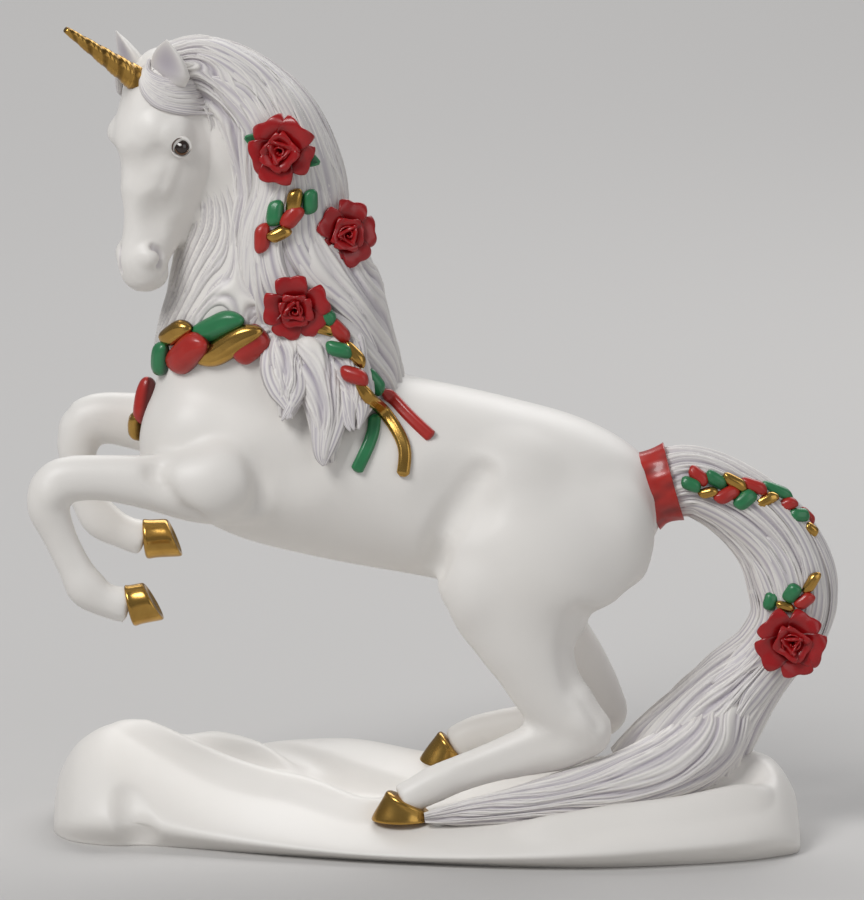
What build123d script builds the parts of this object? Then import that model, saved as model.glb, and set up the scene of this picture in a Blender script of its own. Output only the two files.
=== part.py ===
from build123d import *
import os
from math import cos, radians, sin

# Unicorn figurine: a rearing porcelain unicorn on a snowdrift base, dressed with hand-built roses
# and plaited ribbon. It is slip-cast in sections that are luted together face to face, so each
# section, flower and ribbon is a solid of its own that stops where its neighbour begins.
# Millimetres. +X runs from the chest to the tail, +Y away from the dressed side, +Z up, and the
# origin is on the underside of the base.

# Driving dimensions
WALL = 4.0                 # wall of the hollow castings
BASE_WALL = 4.0            # least wall of the hollow base, above and below its cavity
BASE_CAVITY_SHARE = 0.28   # half width of that cavity over the width of the base
BASE_VENT_RADIUS = 5.0     # drain hole in the underside of the base
BASE_VENT_X = 30.0
BELLY_VENT_RADIUS = 1.0    # pin hole that lets the firing gases out of the body
BELLY_VENT_X = -12.0
BELLY_VENT_Z = 70.0
BELLY_VENT_LONG = 30.0
NECK_VENT_RADIUS = 4.0     # opening between the hollow neck and the hollow body
NECK_VENT_Z = 125.0
NECK_VENT_LONG = 20.0
KNEE_RADIUS = 6.2
HOCK_RADIUS = 8.0
HORN_LENGTH = 28.5
HORN_STATIONS = 15
HORN_BASE_RADIUS = 3.3
HORN_TIP_RADIUS = 0.9
HORN_TWIST_DEG = 38.0      # turn of the horn's oval section from one station to the next
HORN_OVAL = 0.84           # short side of that section over its long side
ROSE_RADIUS = 9.4          # flower drawn at this size, then scaled to each place
ROSE_BUD_RADIUS = 2.7
ROSE_BUD_HALF_HEIGHT = 4.2
ROSE_BUD_RISE = 2.0        # middle of the bud above the skin
ROSE_FIT = 0.03            # slip line between the bud and the petals round it
ROSE_WRAP = [(2.9, 0.6), (3.8, 0.6), (5.6, 5), (4.8, 5.4)]   # inner petal: radius and height of its corners
ROSE_WRAPS = 3
ROSE_WRAP_DEG = 110.0      # how far round the bud an inner petal goes
ROSE_PETALS = 5
ROSE_PETAL = (3.9, 3.3, 7.5, 0.9)   # outer petal: half length, half width, radius of its cup, thickness
ROSE_PETAL_FOOT = (2.4, 0, 0.9)
ROSE_PETAL_LIFT_DEG = 24.0
ROSE_PETAL_START_DEG = 20.0
LEAF_PLACE = (8, 0, 1.5)
LEAF_HALF = (3.4, 2.0, 1.1)
LEAF_TURNS_DEG = (-15, 160)
SIDE = Vector(0, 1, 0)     # across the body

# Head frame: it hangs from the poll, turned towards the dressed side
HEAD_POLL = Vector(-73, -6, 212)
HEAD_TURN_DEG = 40.0       # from straight ahead towards the dressed side
HEAD_NOD_DEG = 6.0         # long axis of the head, off the plumb line

# Stations of the castings: centre x, y, z, half width across the body, half depth in its plane
TORSO = [
    (-78.5, 0, 113, 4, 5), (-76, 0, 112.5, 11, 11), (-71, 0, 111, 17.5, 17),
    (-61, 0, 109, 22, 21), (-46, 0, 106, 24, 25), (-26, 0, 102.5, 25, 26.5),
    (-3, 0, 98, 25, 26.5), (17, 0, 94, 24.5, 26), (36, 0, 91.5, 23, 23.5),
    (50, 0, 90, 18.5, 18.5), (59, 0, 89, 10.5, 11.5), (62.5, 0, 88.5, 4, 5),
]
NECK = [
    (-40, 0, 116, 21, 33), (-44, 0, 134, 18, 31), (-45.5, 0, 152, 15.5, 25),
    (-47, 0, 171, 13.5, 20), (-52.5, -0.5, 189, 12, 16.5), (-61, -2, 202, 10, 12),
]
MANE = [
    (-16, 0, 119, 15, 10), (-21, 0, 127, 20, 13.5), (-30, 0, 140, 20.5, 19.5),
    (-39, 0, 152, 19.5, 22), (-40, 0, 165, 18, 18.5), (-40, 0, 179, 17, 16.5),
    (-44, -0.5, 192, 15.5, 15), (-51.5, -1, 203, 13, 13), (-62, -3, 212.5, 9.5, 8.5),
]
MANE_DRAPE = [             # three locks on the near shoulder, as stations of castings
    [(-43, -15, 143, 4, 5.5), (-40.5, -18.5, 135, 4.5, 6), (-38, -22, 126, 4, 5),
     (-38.5, -24.5, 119, 1.5, 1.6)],
    [(-35, -15, 142, 4, 6), (-31.5, -18.5, 133, 5, 6.5), (-28.5, -22.5, 122, 4.5, 5.5),
     (-28, -24.8, 112, 3, 3.2), (-27.5, -25, 107, 1.4, 1.4)],
    [(-28, -15, 141, 4, 6), (-23.5, -18.5, 133, 4.5, 6), (-20, -22, 124, 3.8, 4.4),
     (-21, -24, 116, 1.5, 1.6)],
]
LEFT_FOREARM = [
    (-40, -12, 108, 8, 13), (-51, -16.5, 102, 10, 14), (-62, -19, 99.3, 8.6, 10.3),
    (-75, -20.5, 100.6, 6.5, 7.7), (-88, -21, 102, 5.7, 6.3), (-98, -21, 101.6, 5.8, 6.3),
    (-103, -21, 99.5, 5.4, 5.6),
]
LEFT_FORE_CANNON = [
    (-101, -21, 102, 5, 5.2), (-103, -21, 95, 5.5, 5.9), (-99.8, -21, 86, 4.3, 4.8),
    (-95.8, -21, 77.5, 4.2, 4.8), (-92.5, -21, 71.8, 4.9, 5.7), (-87.5, -21, 68.4, 4.2, 4.7),
    (-81.2, -21, 67, 4.7, 5.4),
]
LEFT_FORE_SOLE = (-74.6, -21, 68.3, 5.3, 6.0)
LEFT_FORE_SOLE_FACING = Vector(0.86, 0, 0.5)
RIGHT_FOREARM = [
    (-44, 12, 110, 8, 13), (-56, 16, 108, 9.5, 12.5), (-68, 18, 108.4, 8, 9.6),
    (-80, 19, 109.8, 6.6, 8), (-90, 19.5, 110.8, 6, 7), (-96.5, 19.5, 109, 5.6, 6.2),
]
RIGHT_FORE_CANNON = [
    (-94, 19.5, 111, 5, 5.2), (-96.3, 19.5, 104.5, 5.5, 5.9), (-96.2, 19.5, 96, 4.3, 4.8),
    (-94, 19.5, 88.5, 4.3, 4.8), (-90.5, 19.5, 82.8, 4.9, 5.6), (-86, 19.5, 79.2, 4.3, 4.8),
    (-81.5, 19.5, 77, 4.8, 5.5),
]
RIGHT_FORE_SOLE = (-73.5, 19.5, 75.2, 5.4, 6.2)
RIGHT_FORE_SOLE_FACING = Vector(0.95, 0, 0.3)
LEFT_THIGH = [
    (38, -9.5, 102, 8, 15), (34.5, -14, 90, 12.5, 25.5), (30.5, -17.5, 77, 13.5, 28.5),
    (27.5, -19.5, 66.5, 12.3, 24), (26.3, -21, 58.5, 10.2, 17.8), (28, -21.7, 51, 8.6, 12.2),
    (32, -22, 44, 7.3, 9.7), (37, -22, 38, 6.6, 8.7), (40.5, -22, 33.5, 6, 7.6),
]
LEFT_HIND_CANNON = [
    (43, -22, 31.5, 5, 6), (34, -22.3, 29.8, 5.5, 8), (24.5, -22.8, 27, 5, 6.8),
    (15, -23.2, 24, 4.6, 5.5), (6, -23.6, 20.8, 4.6, 5.1), (0, -23.9, 18.2, 4.9, 5.2),
    (-4.5, -24.1, 15.8, 4.5, 4.7), (-8, -24.3, 13.8, 4.9, 5.1),
]
LEFT_HIND_SOLE = (-10.5, -24.5, 8.6, 6.3, 7.6)
RIGHT_THIGH = [
    (38, 9.5, 102, 8, 15), (35, 14, 90, 12.5, 25), (31, 17.5, 77, 13.5, 27.5),
    (28.5, 19, 66.5, 12.3, 22.5), (28.5, 20, 58, 10.2, 16), (32.5, 20.5, 50, 8.6, 11.5),
    (38.5, 20.5, 42, 7.3, 9.7), (43, 20.5, 35, 6.6, 8.7), (46, 20.5, 30, 6, 7.6),
]
RIGHT_HIND_CANNON = [
    (48, 20.5, 27.5, 5, 6), (39.5, 20.7, 26.2, 5.5, 7.6), (29.5, 21, 24.6, 5, 6.6),
    (20, 21.4, 23, 4.7, 6), (12, 21.7, 21, 4.7, 5.6), (6.5, 21.9, 18.8, 4.9, 5.3),
    (2.5, 22, 16.4, 4.8, 5),
]
RIGHT_HIND_SOLE = (-0.5, 22, 11.2, 6.2, 7.2)
SOLE_DOWN = Vector(0, 0, -1)
TAIL_WRAP = [(57.5, 0, 94.3, 9.4, 10.6), (61.5, 0, 95.8, 8.6, 9.7), (65.3, 0, 96.9, 9.4, 10.2)]
TAIL = [
    (65.3, 0, 96.9, 9, 9.6), (73, 0, 96.3, 9.4, 9.8), (83.5, 0, 90.3, 10, 10.6),
    (92.5, 0, 81.2, 10.6, 11.6), (97.3, 0, 70, 11, 12.4), (97.2, 0, 59.5, 11.4, 11.4),
    (91.5, 0, 50, 11.6, 10), (83, 0, 40, 12.6, 12), (74.5, -1, 30.5, 15, 15),
    (66.5, -2, 21.5, 18, 18.5), (60, -3, 13, 20, 20),
]
TAIL_SPLIT = 6             # station where the hanging plume meets the sweep that runs into the base
TAIL_END = [
    (66, -12, 17.5, 9, 9), (50, -21, 17, 8, 7.5), (34, -26.5, 14.5, 7, 6),
    (21, -29, 11.8, 5, 4), (13, -30, 10, 2, 1.5),
]

# Snowdrift base: x, near edge, far edge, height near the near edge, on the middle and at the back
BASE = [
    (-103, 0, 18, 5, 7, 5), (-101, -7, 26, 12, 15, 12), (-96, -14, 34, 18, 22.5, 17),
    (-87, -18, 40, 20.5, 27, 20), (-76, -18, 43, 18, 25, 19.5), (-62, -22, 45, 14, 21.5, 18),
    (-44, -28, 46, 11, 18, 17.5), (-22, -34, 45, 8.5, 13.5, 17.5), (0, -38.5, 43, 8.5, 11.5, 13.5),
    (22, -42, 40, 11, 14, 14), (44, -43, 36, 14, 18, 15.5), (66, -40, 32, 16.5, 21, 17),
    (82, -36, 28, 17.5, 22.5, 18), (92, -31, 21, 16, 21, 16), (98, -26, 11, 9, 13, 9),
    (99.5, -20, 3, 3.5, 5, 3.5),
]
BASE_BULGE = 0.06          # how far the side walls swell past the foot, over the width
BASE_SWELL = 0.42          # height of that swell, over the height of the edge
BASE_SHOULDER = 0.17       # how far in from the edge the near and far heights are, over the width
BASE_FOOT_TRIM = 2.0       # ground off the underside, so that the foot is flat

# Head stations in its own frame: distance below the poll, centre towards the face, half width, half depth
HEAD = [
    (-4, -4, 4, 5), (-1.5, -4, 6.8, 8.5), (4, -3.4, 9.2, 11.5), (12, -4.2, 11, 14.2),
    (20, -4.9, 11.8, 16.1), (29, -6.8, 10.4, 16.4), (37, -7, 8.6, 14.6), (43, -4.8, 7.2, 11.4),
    (48, -2.2, 6.4, 8.8), (53, 0.2, 6.2, 6.8), (57, -0.4, 5.6, 5.8), (60, -0.6, 3.8, 4),
    (61.4, -0.6, 1.8, 1.8),
]
ORBIT_PLACE = (17.5, 9.4, 0.6)    # brow of the eye: below the poll, to the side, towards the face
ORBIT_HALF = (6.0, 4.0, 5.4)
EYE_PLACE = (20.4, 12.0, 1.0)
EYE_RADIUS = 2.2
HORN_PLACE = (5, 0, 6)
HORN_LEAN = Vector(-0.67, -0.485, 0.56)
EAR_PLACE = (2.5, 7.0, 1.5)
EAR_HALF = (2.0, 3.6, 6.2)
EAR_SPLAY_DEG = 24.0
EAR_RISE = 0.8             # middle of the ear above its place, over its half height
EAR_SCOOP = (0.62, 0.9, 0.66)     # hollow of the ear, over its half sizes
EAR_SCOOP_RISE = 0.9
FORELOCK = [               # below the poll, to the side, towards the face, radius of the lock
    (5, 2, 8.2, 1.8), (7.5, 5.5, 7.4, 2.7), (10.5, 8.8, 4.4, 3.0),
    (13.5, 11, -0.8, 2.8), (17, 11.8, -7, 1.8),
]

# Ornaments: where each flower sits, and the lines along which the plaits lie
NEAR = Vector(0, 1, 0)     # looking in from the dressed side
ROSES = {                  # a point off the skin, the way in from it, radius of the flower
    "mane_top": ((-39.6, -60, 190.6), NEAR, 9.4),
    "mane_back": ((8, -72, 166.5), Vector(-0.45, 0.89, 0), 7.8),
    "mane_low": ((-36.4, -60, 148.3), NEAR, 8.6),
    "tail": ((97.3, -60, 55.1), NEAR, 9.2),
}
COLOURS = ("red", "green", "gold")
PLAITS = {                 # guide in x and z, lobes, half sizes of a lobe, gap of its two rows, tilt
    "mane_twist": ([(-45, 163.5), (-41, 169.5), (-36, 173.5), (-30.5, 174.5)],
                   6, (2.8, 1.8, 1.7), 3.4, 25),
    "mane_plait": ([(-30.5, 144.5), (-26.5, 140), (-20, 132), (-14, 125.5)],
                   8, (3.0, 1.9, 1.8), 3.4, 25),
    "tail_plait": ([(67.5, 98), (76.3, 97.6), (83.3, 95.7), (91.6, 92.6), (98.5, 87.5), (101.5, 83)],
                   14, (2.9, 1.9, 1.8), 3.6, 25),
    "tail_twist": ([(88.5, 63.5), (95, 66.2), (100.5, 69.5), (103, 72)],
                   5, (2.9, 1.9, 1.8), 3.4, 25),
}
RIBBON_ENDS = {            # loose ends of the mane plait, on the flank
    "red": [(-12.4, 123.8), (-6.3, 118.4), (0, 113)],
    "gold": [(-19, 125), (-14.5, 120.3), (-10, 116), (-7.1, 110.1), (-7.9, 103.1)],
    "green": [(-15.3, 119.2), (-16.1, 113.5), (-20.3, 104.4)],
}
RIBBON_HALF_WIDTH = 1.6
RIBBON_HALF_THICK = 0.9
COLLAR_LOBES = 9
COLLAR_LOBE = (5.4, 3.2, 2.6)
COLLAR_ROW_GAP = 4.6
COLLAR_TILT_DEG = 22.0
COLLAR_RING = Vector(-46, 0, 137)
COLLAR_START_DEG = 266.0   # seen from above, from +X; the dressed side is at 270
COLLAR_END_DEG = 150.0
COLLAR_DROP = 25.0         # fall of the collar towards the far side
VIEW_OFF = 80.0            # how far off the skin the guide lines are drawn


def section(station, facing):
    """Oval face at a station, square to the way the casting runs there, with its x across the body."""
    plane = Plane(origin=station[:3], x_dir=SIDE - facing * SIDE.dot(facing), z_dir=facing)
    return plane * Ellipse(*station[3:])


def facings(stations):
    """Unit direction of the run at each station."""
    points = [Vector(*station[:3]) for station in stations]
    last = len(points) - 1
    return [(points[min(i + 1, last)] - points[max(i - 1, 0)]).normalized() for i in range(last + 1)]


def sections(stations):
    """Oval faces at all the stations of a run."""
    return [section(station, facing) for station, facing in zip(stations, facings(stations))]


def casting(stations, inset=0.0):
    """Smooth solid through the stations; inset takes that much off every half size."""
    return loft(sections([(x, y, z, a - inset, b - inset) for x, y, z, a, b in stations]))


def hollow(stations, kept):
    """The drained inside of a casting: the stations in kept, less the wall."""
    return casting(stations[kept], WALL)


def ellipsoid(half_sizes):
    """Ellipsoid at the origin."""
    return scale(Sphere(1), by=half_sizes)


def hoof(leg_stations, sole, sole_facing):
    """Gilded hoof, from the last station of a leg to its sole."""
    coronet = section(leg_stations[-1], facings(leg_stations)[-1])
    return loft([coronet, section(sole, sole_facing)])


def joint_knob(station, radius):
    """Rounded knee or hock between the two runs of a leg."""
    return Pos(*station[:3]) * ellipsoid((radius, station[3], radius))


def head_frame():
    """Directions of the head: down its length, out of its face, and out of its near cheek."""
    turn, nod = radians(HEAD_TURN_DEG), radians(HEAD_NOD_DEG)
    ahead = Vector(-cos(turn), -sin(turn), 0)
    down = ahead * sin(nod) - Vector(0, 0, cos(nod))
    face = ahead * cos(nod) + Vector(0, 0, sin(nod))
    return down, face, face.cross(down)


DOWN, FACE, CHEEK = head_frame()


def head_point(place):
    """Row-frame point for a place in the head: below the poll, to the near side, towards the face."""
    below, aside, out = place
    return HEAD_POLL + DOWN * below + CHEEK * aside + FACE * out


def mirrored(place):
    """The same place on the far side of the head."""
    return (place[0], -place[1], place[2])


def head_plane(place):
    """Plane in the head: x to the near cheek, y out of the face, z up along its length."""
    return Plane(origin=head_point(place), x_dir=CHEEK, z_dir=-DOWN)


def build_head():
    """Head from poll to lips, with the brow over each eye."""
    faces = []
    for below, out, half_width, half_depth in HEAD:
        plane = Plane(origin=head_point((below, 0, out)), x_dir=CHEEK, z_dir=DOWN)
        faces.append(plane * Ellipse(half_width, half_depth))
    head = loft(faces)
    for place in (ORBIT_PLACE, mirrored(ORBIT_PLACE)):
        along, aside, out = ORBIT_HALF
        head += head_plane(place) * ellipsoid((aside, out, along))
    return head


def build_ear(place):
    """Upright leaf-shaped ear, scooped out towards the face."""
    lean = EAR_SPLAY_DEG if place[1] > 0 else -EAR_SPLAY_DEG
    out, across, tall = EAR_HALF
    scoop_across, scoop_out, scoop_tall = EAR_SCOOP
    ear = Pos(0, 0, tall * EAR_RISE) * ellipsoid((across, out, tall))
    hollowed = ellipsoid((across * scoop_across, out * scoop_out, tall * scoop_tall))
    scoop = Pos(0, out, tall * EAR_SCOOP_RISE) * hollowed
    return head_plane(place) * Rot(0, lean, 0) * (ear - scoop)


def build_horn():
    """Twisted horn: an oval section that turns as it tapers."""
    faces = []
    start = Plane(origin=head_point(HORN_PLACE), z_dir=HORN_LEAN)
    for i in range(HORN_STATIONS):
        share = i / (HORN_STATIONS - 1)
        radius = HORN_BASE_RADIUS + (HORN_TIP_RADIUS - HORN_BASE_RADIUS) * share
        place = start * Pos(0, 0, HORN_LENGTH * share) * Rot(0, 0, HORN_TWIST_DEG * i)
        faces.append(place * Ellipse(radius, radius * HORN_OVAL))
    return loft(faces)


def base_section(x, near, far, low, crest, back):
    """Upright slice of the snowdrift before its foot is ground: swelling walls and a rolling top."""
    width = far - near
    bulge, shoulder = BASE_BULGE * width, BASE_SHOULDER * width
    top = [
        (near, -BASE_FOOT_TRIM), (near - bulge, BASE_SWELL * low), (near + shoulder, low),
        ((near + far) / 2, crest), (far - shoulder, back),
        (far + bulge, BASE_SWELL * back), (far, -BASE_FOOT_TRIM),
    ]
    outline = Spline(*top) + Line(top[-1], top[0])
    plane = Plane(origin=(x, 0, 0), x_dir=(0, 1, 0), z_dir=(1, 0, 0))
    return plane * make_face(outline)


def build_base():
    """Hollow snowdrift with a drain hole through its underside."""
    cast = loft([base_section(*station) for station in BASE])
    outside = biggest(split(cast, Plane.XY, keep=Keep.TOP))
    cavity = casting([
        (x, (near + far) / 2, crest / 2, BASE_CAVITY_SHARE * (far - near), crest / 2 - BASE_WALL)
        for x, near, far, low, crest, back in BASE[3:-3]
    ])
    drain = Pos(BASE_VENT_X, 0, 0) * Cylinder(BASE_VENT_RADIUS, 3 * BASE_WALL)
    return outside - cavity - drain


def settle(carrier, point, inward):
    """Where a line from point along inward first meets the carrier, with the outward normal there."""
    hits = carrier.find_intersection_points(Axis(point, inward))
    ahead = [hit for hit in hits if (hit[0] - point).dot(inward) > 0]
    place, normal = min(ahead, key=lambda hit: (hit[0] - point).dot(inward))
    return place, normal if normal.dot(inward) < 0 else -normal


def along(guide, share):
    """Point and unit direction at a share of the length of a broken line."""
    points = [Vector(*p) for p in guide]
    runs = [b - a for a, b in zip(points, points[1:])]
    left = share * sum(run.length for run in runs)
    for start, run in zip(points, runs):
        if left <= run.length or run is runs[-1]:
            return start + run.normalized() * left, run.normalized()
        left -= run.length


def bead(carrier, point, run, inward, half_sizes, tilt_deg):
    """One visible lobe of a plait, half sunk in what carries it."""
    place, normal = settle(carrier, point, inward)
    across = run - normal * run.dot(normal)
    plane = Plane(origin=place, x_dir=across, z_dir=normal)
    return plane * Rot(0, 0, tilt_deg) * ellipsoid(half_sizes)


def plait(carrier, guide, count, half_sizes, row_gap, tilt_deg):
    """Lobes of a three-strand plait on the near face of a carrier, in order."""
    off_skin = [(x, -VIEW_OFF, z) for x, z in guide]
    lobes = []
    for i in range(count):
        point, run = along(off_skin, (i + 0.5) / count)
        row = 1 if i % 2 else -1
        point += run.cross(NEAR) * (row * row_gap / 2)
        lobes.append(bead(carrier, point, run, NEAR, half_sizes, row * tilt_deg))
    return lobes


def collar(carrier):
    """Lobes of the plait round the base of the neck, in order."""
    lobes = []
    for i in range(COLLAR_LOBES):
        share = i / (COLLAR_LOBES - 1)
        angle = radians(COLLAR_START_DEG + (COLLAR_END_DEG - COLLAR_START_DEG) * share)
        outward = Vector(cos(angle), sin(angle), 0)
        run = Vector(sin(angle), -cos(angle), 0)
        row = 1 if i % 2 else -1
        rise = row * COLLAR_ROW_GAP / 2 - COLLAR_DROP * share ** 3
        point = COLLAR_RING + outward * VIEW_OFF + Vector(0, 0, rise)
        lobes.append(bead(carrier, point, run, -outward, COLLAR_LOBE, row * COLLAR_TILT_DEG))
    return lobes


def ribbon_end(carrier, guide):
    """Loose end of a ribbon: a flat run that lies on the near face of a carrier."""
    places = [settle(carrier, Vector(x, -VIEW_OFF, z), NEAR)[0] for x, z in guide]
    return casting([(*place, RIBBON_HALF_THICK, RIBBON_HALF_WIDTH) for place in places])


def petal(half_long, half_wide, cup_radius, thick):
    """Dished petal that lies along +X from the origin, hollow side up."""
    cup = Pos(half_long, 0, cup_radius) * (Sphere(cup_radius) - Sphere(cup_radius - thick))
    outline = Pos(half_long, 0, 0) * extrude(Ellipse(half_long, half_wide), cup_radius)
    return cup & outline


def boxed(shapes):
    """Each shape with the box round it, which is slow to find twice."""
    return [(shape, shape.bounding_box()) for shape in shapes]


def clear_of(shape, others):
    """The main solid of a shape, with every other boxed solid taken out of it."""
    reach = shape.bounding_box()
    for other, box in others:
        if box.overlaps(reach):
            shape = biggest(shape - other)
    return shape


def rose_pieces():
    """One hand-built flower on the XY plane: bud, two rings of petals and two leaves."""
    radius, tall = ROSE_BUD_RADIUS, ROSE_BUD_HALF_HEIGHT
    bud = Pos(0, 0, ROSE_BUD_RISE) * ellipsoid((radius, radius, tall))
    room = Pos(0, 0, ROSE_BUD_RISE) * ellipsoid((radius + ROSE_FIT, radius + ROSE_FIT, tall + ROSE_FIT))
    wrap = revolve(Plane.XZ * make_face(Polyline(*ROSE_WRAP, close=True)), Axis.Z, ROSE_WRAP_DEG)
    wraps = [Rot(0, 0, 360 / ROSE_WRAPS * i) * wrap for i in range(ROSE_WRAPS)]
    inner = [clear_of(shape, boxed([room])) for shape in wraps]
    spoon = Pos(*ROSE_PETAL_FOOT) * Rot(0, -ROSE_PETAL_LIFT_DEG, 0) * petal(*ROSE_PETAL)
    outer = []
    for i in range(ROSE_PETALS):
        turned = Rot(0, 0, 360 / ROSE_PETALS * i + ROSE_PETAL_START_DEG) * spoon
        outer.append(clear_of(turned, boxed([room, *inner, *outer])))
    blade = Pos(*LEAF_PLACE) * ellipsoid(LEAF_HALF)
    leaves = [clear_of(Rot(0, 0, turn) * blade, boxed(outer)) for turn in LEAF_TURNS_DEG]
    return {"bud": [bud], "inner_petals": inner, "outer_petals": outer, "leaves": leaves}


def rose_plane(carrier, point, inward):
    """Plane on the skin of a carrier for a flower that turns halfway back to the viewer."""
    place, normal = settle(carrier, Vector(*point), inward)
    return Plane(origin=place, z_dir=normal - inward.normalized())


NODES = {}


def add(name, *shapes):
    """Keep a finished node: one solid, or a group of separate ones."""
    NODES[name] = list(shapes)


def biggest(shape):
    """The main solid of a cut, without its crumbs."""
    return max(shape.solids(), key=lambda solid: solid.volume)


def build_castings():
    """White castings, from the body outwards."""
    torso_skin = casting(TORSO)
    neck_skin = biggest(casting(NECK) - torso_skin)
    head = biggest(build_head() - neck_skin)
    belly_vent = Pos(BELLY_VENT_X, 0, BELLY_VENT_Z) * Cylinder(BELLY_VENT_RADIUS, BELLY_VENT_LONG)
    neck_vent = Pos(NECK[0][0], 0, NECK_VENT_Z) * Cylinder(NECK_VENT_RADIUS, NECK_VENT_LONG)
    add("torso_shell", biggest(torso_skin - hollow(TORSO, slice(1, -2)) - belly_vent - neck_vent))
    add("neck_shell", biggest(neck_skin - hollow(NECK, slice(0, -1))))
    add("head", head)

    halves = split(biggest(casting(MANE) - torso_skin - neck_skin - head), Plane.XZ, keep=Keep.BOTH)
    near_mane, far_mane = sorted(halves.solids(), key=lambda solid: -solid.volume)[:2]
    if near_mane.center().Y > 0:
        near_mane, far_mane = far_mane, near_mane
    add("mane_left", near_mane)
    add("mane_right", far_mane)
    drape = casting(MANE_DRAPE[0])
    for stations in MANE_DRAPE[1:]:
        drape += casting(stations)
    add("mane_drape", biggest(drape - torso_skin - neck_skin - near_mane))

    for side, forearm, cannon, sole, facing in (
        ("left", LEFT_FOREARM, LEFT_FORE_CANNON, LEFT_FORE_SOLE, LEFT_FORE_SOLE_FACING),
        ("right", RIGHT_FOREARM, RIGHT_FORE_CANNON, RIGHT_FORE_SOLE, RIGHT_FORE_SOLE_FACING),
    ):
        knee = joint_knob(cannon[1], KNEE_RADIUS)
        add(f"{side}_foreleg", biggest(casting(cannon) + knee + casting(forearm) - torso_skin))
        add(f"{side}_fore_hoof", biggest(hoof(cannon, sole, facing)))

    base = build_base()
    for side, thigh, cannon, sole in (
        ("left", LEFT_THIGH, LEFT_HIND_CANNON, LEFT_HIND_SOLE),
        ("right", RIGHT_THIGH, RIGHT_HIND_CANNON, RIGHT_HIND_SOLE),
    ):
        hock = joint_knob(thigh[-1], HOCK_RADIUS)
        leg = casting(cannon) + hock + casting(thigh)
        add(f"{side}_hind_leg", biggest(leg - torso_skin - base))
        add(f"{side}_hind_hoof", biggest(hoof(cannon, sole, SOLE_DOWN) - base))
    add("base_shell", biggest(base))

    hinds = [NODES["left_hind_leg"][0], NODES["right_hind_leg"][0]]
    wrap = biggest(casting(TAIL_WRAP) - torso_skin)
    for hind in hinds:
        wrap = biggest(wrap - hind)
    add("tail_wrap", wrap)
    tail = sections(TAIL)
    plume = biggest(loft(tail[:TAIL_SPLIT + 1]) - wrap)
    add("tail_plume", plume)
    sweep = loft(tail[TAIL_SPLIT:]) - base
    for hind in hinds:
        sweep = biggest(sweep - hind)
    add("tail_sweep", sweep)
    end = casting(TAIL_END) - base - sweep
    for hind in hinds:
        end = biggest(end - hind)
    add("tail_end", end)

    horn = biggest(build_horn() - head)
    add("horn", horn)
    ears = []
    for side, place in (("left", EAR_PLACE), ("right", mirrored(EAR_PLACE))):
        ear = biggest(build_ear(place) - head - near_mane - far_mane)
        add(f"{side}_ear", ear)
        ears.append(ear)
    lock = casting([(*head_point(place), radius, radius) for *place, radius in FORELOCK])
    add("forelock", biggest(lock - head - horn - ears[0] - ears[1] - near_mane))
    for side, place in (("left", EYE_PLACE), ("right", mirrored(EYE_PLACE))):
        eye = Pos(*head_point(place)) * Sphere(EYE_RADIUS)
        add(f"{side}_eye", biggest(eye - head))
    return torso_skin


def build_ornaments(torso_skin):
    """Roses and plaits, each cut back to the castings that carry it."""
    near_white = ("mane_left", "mane_drape", "neck_shell", "right_foreleg")
    on_mane = [NODES[name][0] for name in near_white] + [torso_skin]
    on_tail = [NODES[name][0] for name in ("tail_plume", "tail_sweep", "tail_wrap")]
    mane_skin, tail_skin = Compound(on_mane), Compound(on_tail)
    on_mane, on_tail = boxed(on_mane), boxed(on_tail)

    flower = rose_pieces()
    for name, (point, inward, radius) in ROSES.items():
        on, skin = (on_tail, tail_skin) if name == "tail" else (on_mane, mane_skin)
        plane = rose_plane(skin, point, inward)
        pieces = {}
        for piece, shapes in flower.items():
            grown = [plane * scale(shape, by=radius / ROSE_RADIUS) for shape in shapes]
            pieces[piece] = [clear_of(shape, on) for shape in grown]
            add(f"rose_{name}_{piece}", *pieces[piece])
        for shapes in pieces.values():
            on += boxed(shapes)

    runs = {"collar": collar(mane_skin)}
    for name, sizes in PLAITS.items():
        runs[name] = plait(tail_skin if name.startswith("tail") else mane_skin, *sizes)
    for name, lobes in runs.items():
        on = on_tail if name.startswith("tail") else on_mane
        laid = [(COLOURS[i % 3], lobe) for i, lobe in enumerate(lobes)]
        if name == "mane_plait":
            laid += [(colour, ribbon_end(torso_skin, guide)) for colour, guide in RIBBON_ENDS.items()]
        strands = {colour: [] for colour in COLOURS}
        for colour, shape in laid:
            kept = clear_of(shape, on)
            strands[colour].append(kept)
            on += boxed([kept])
        for colour, shapes in strands.items():
            add(f"{name}_{colour}", *shapes)


def main():
    torso_skin = build_castings()
    build_ornaments(torso_skin)
    os.makedirs("parts", exist_ok=True)
    for name, shapes in NODES.items():
        shape = shapes[0] if len(shapes) == 1 else Compound(shapes)
        export_step(shape, f"parts/{name}.step")


main()
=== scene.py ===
"""Looks of the unicorn figurine: bisque porcelain body, carved hair, gilding and enamelled flowers."""

import logging
import math
from dataclasses import dataclass, field
from enum import Enum
from typing import Any

import bmesh
import bpy
import numpy as np
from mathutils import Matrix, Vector
from mathutils.bvhtree import BVHTree


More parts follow.
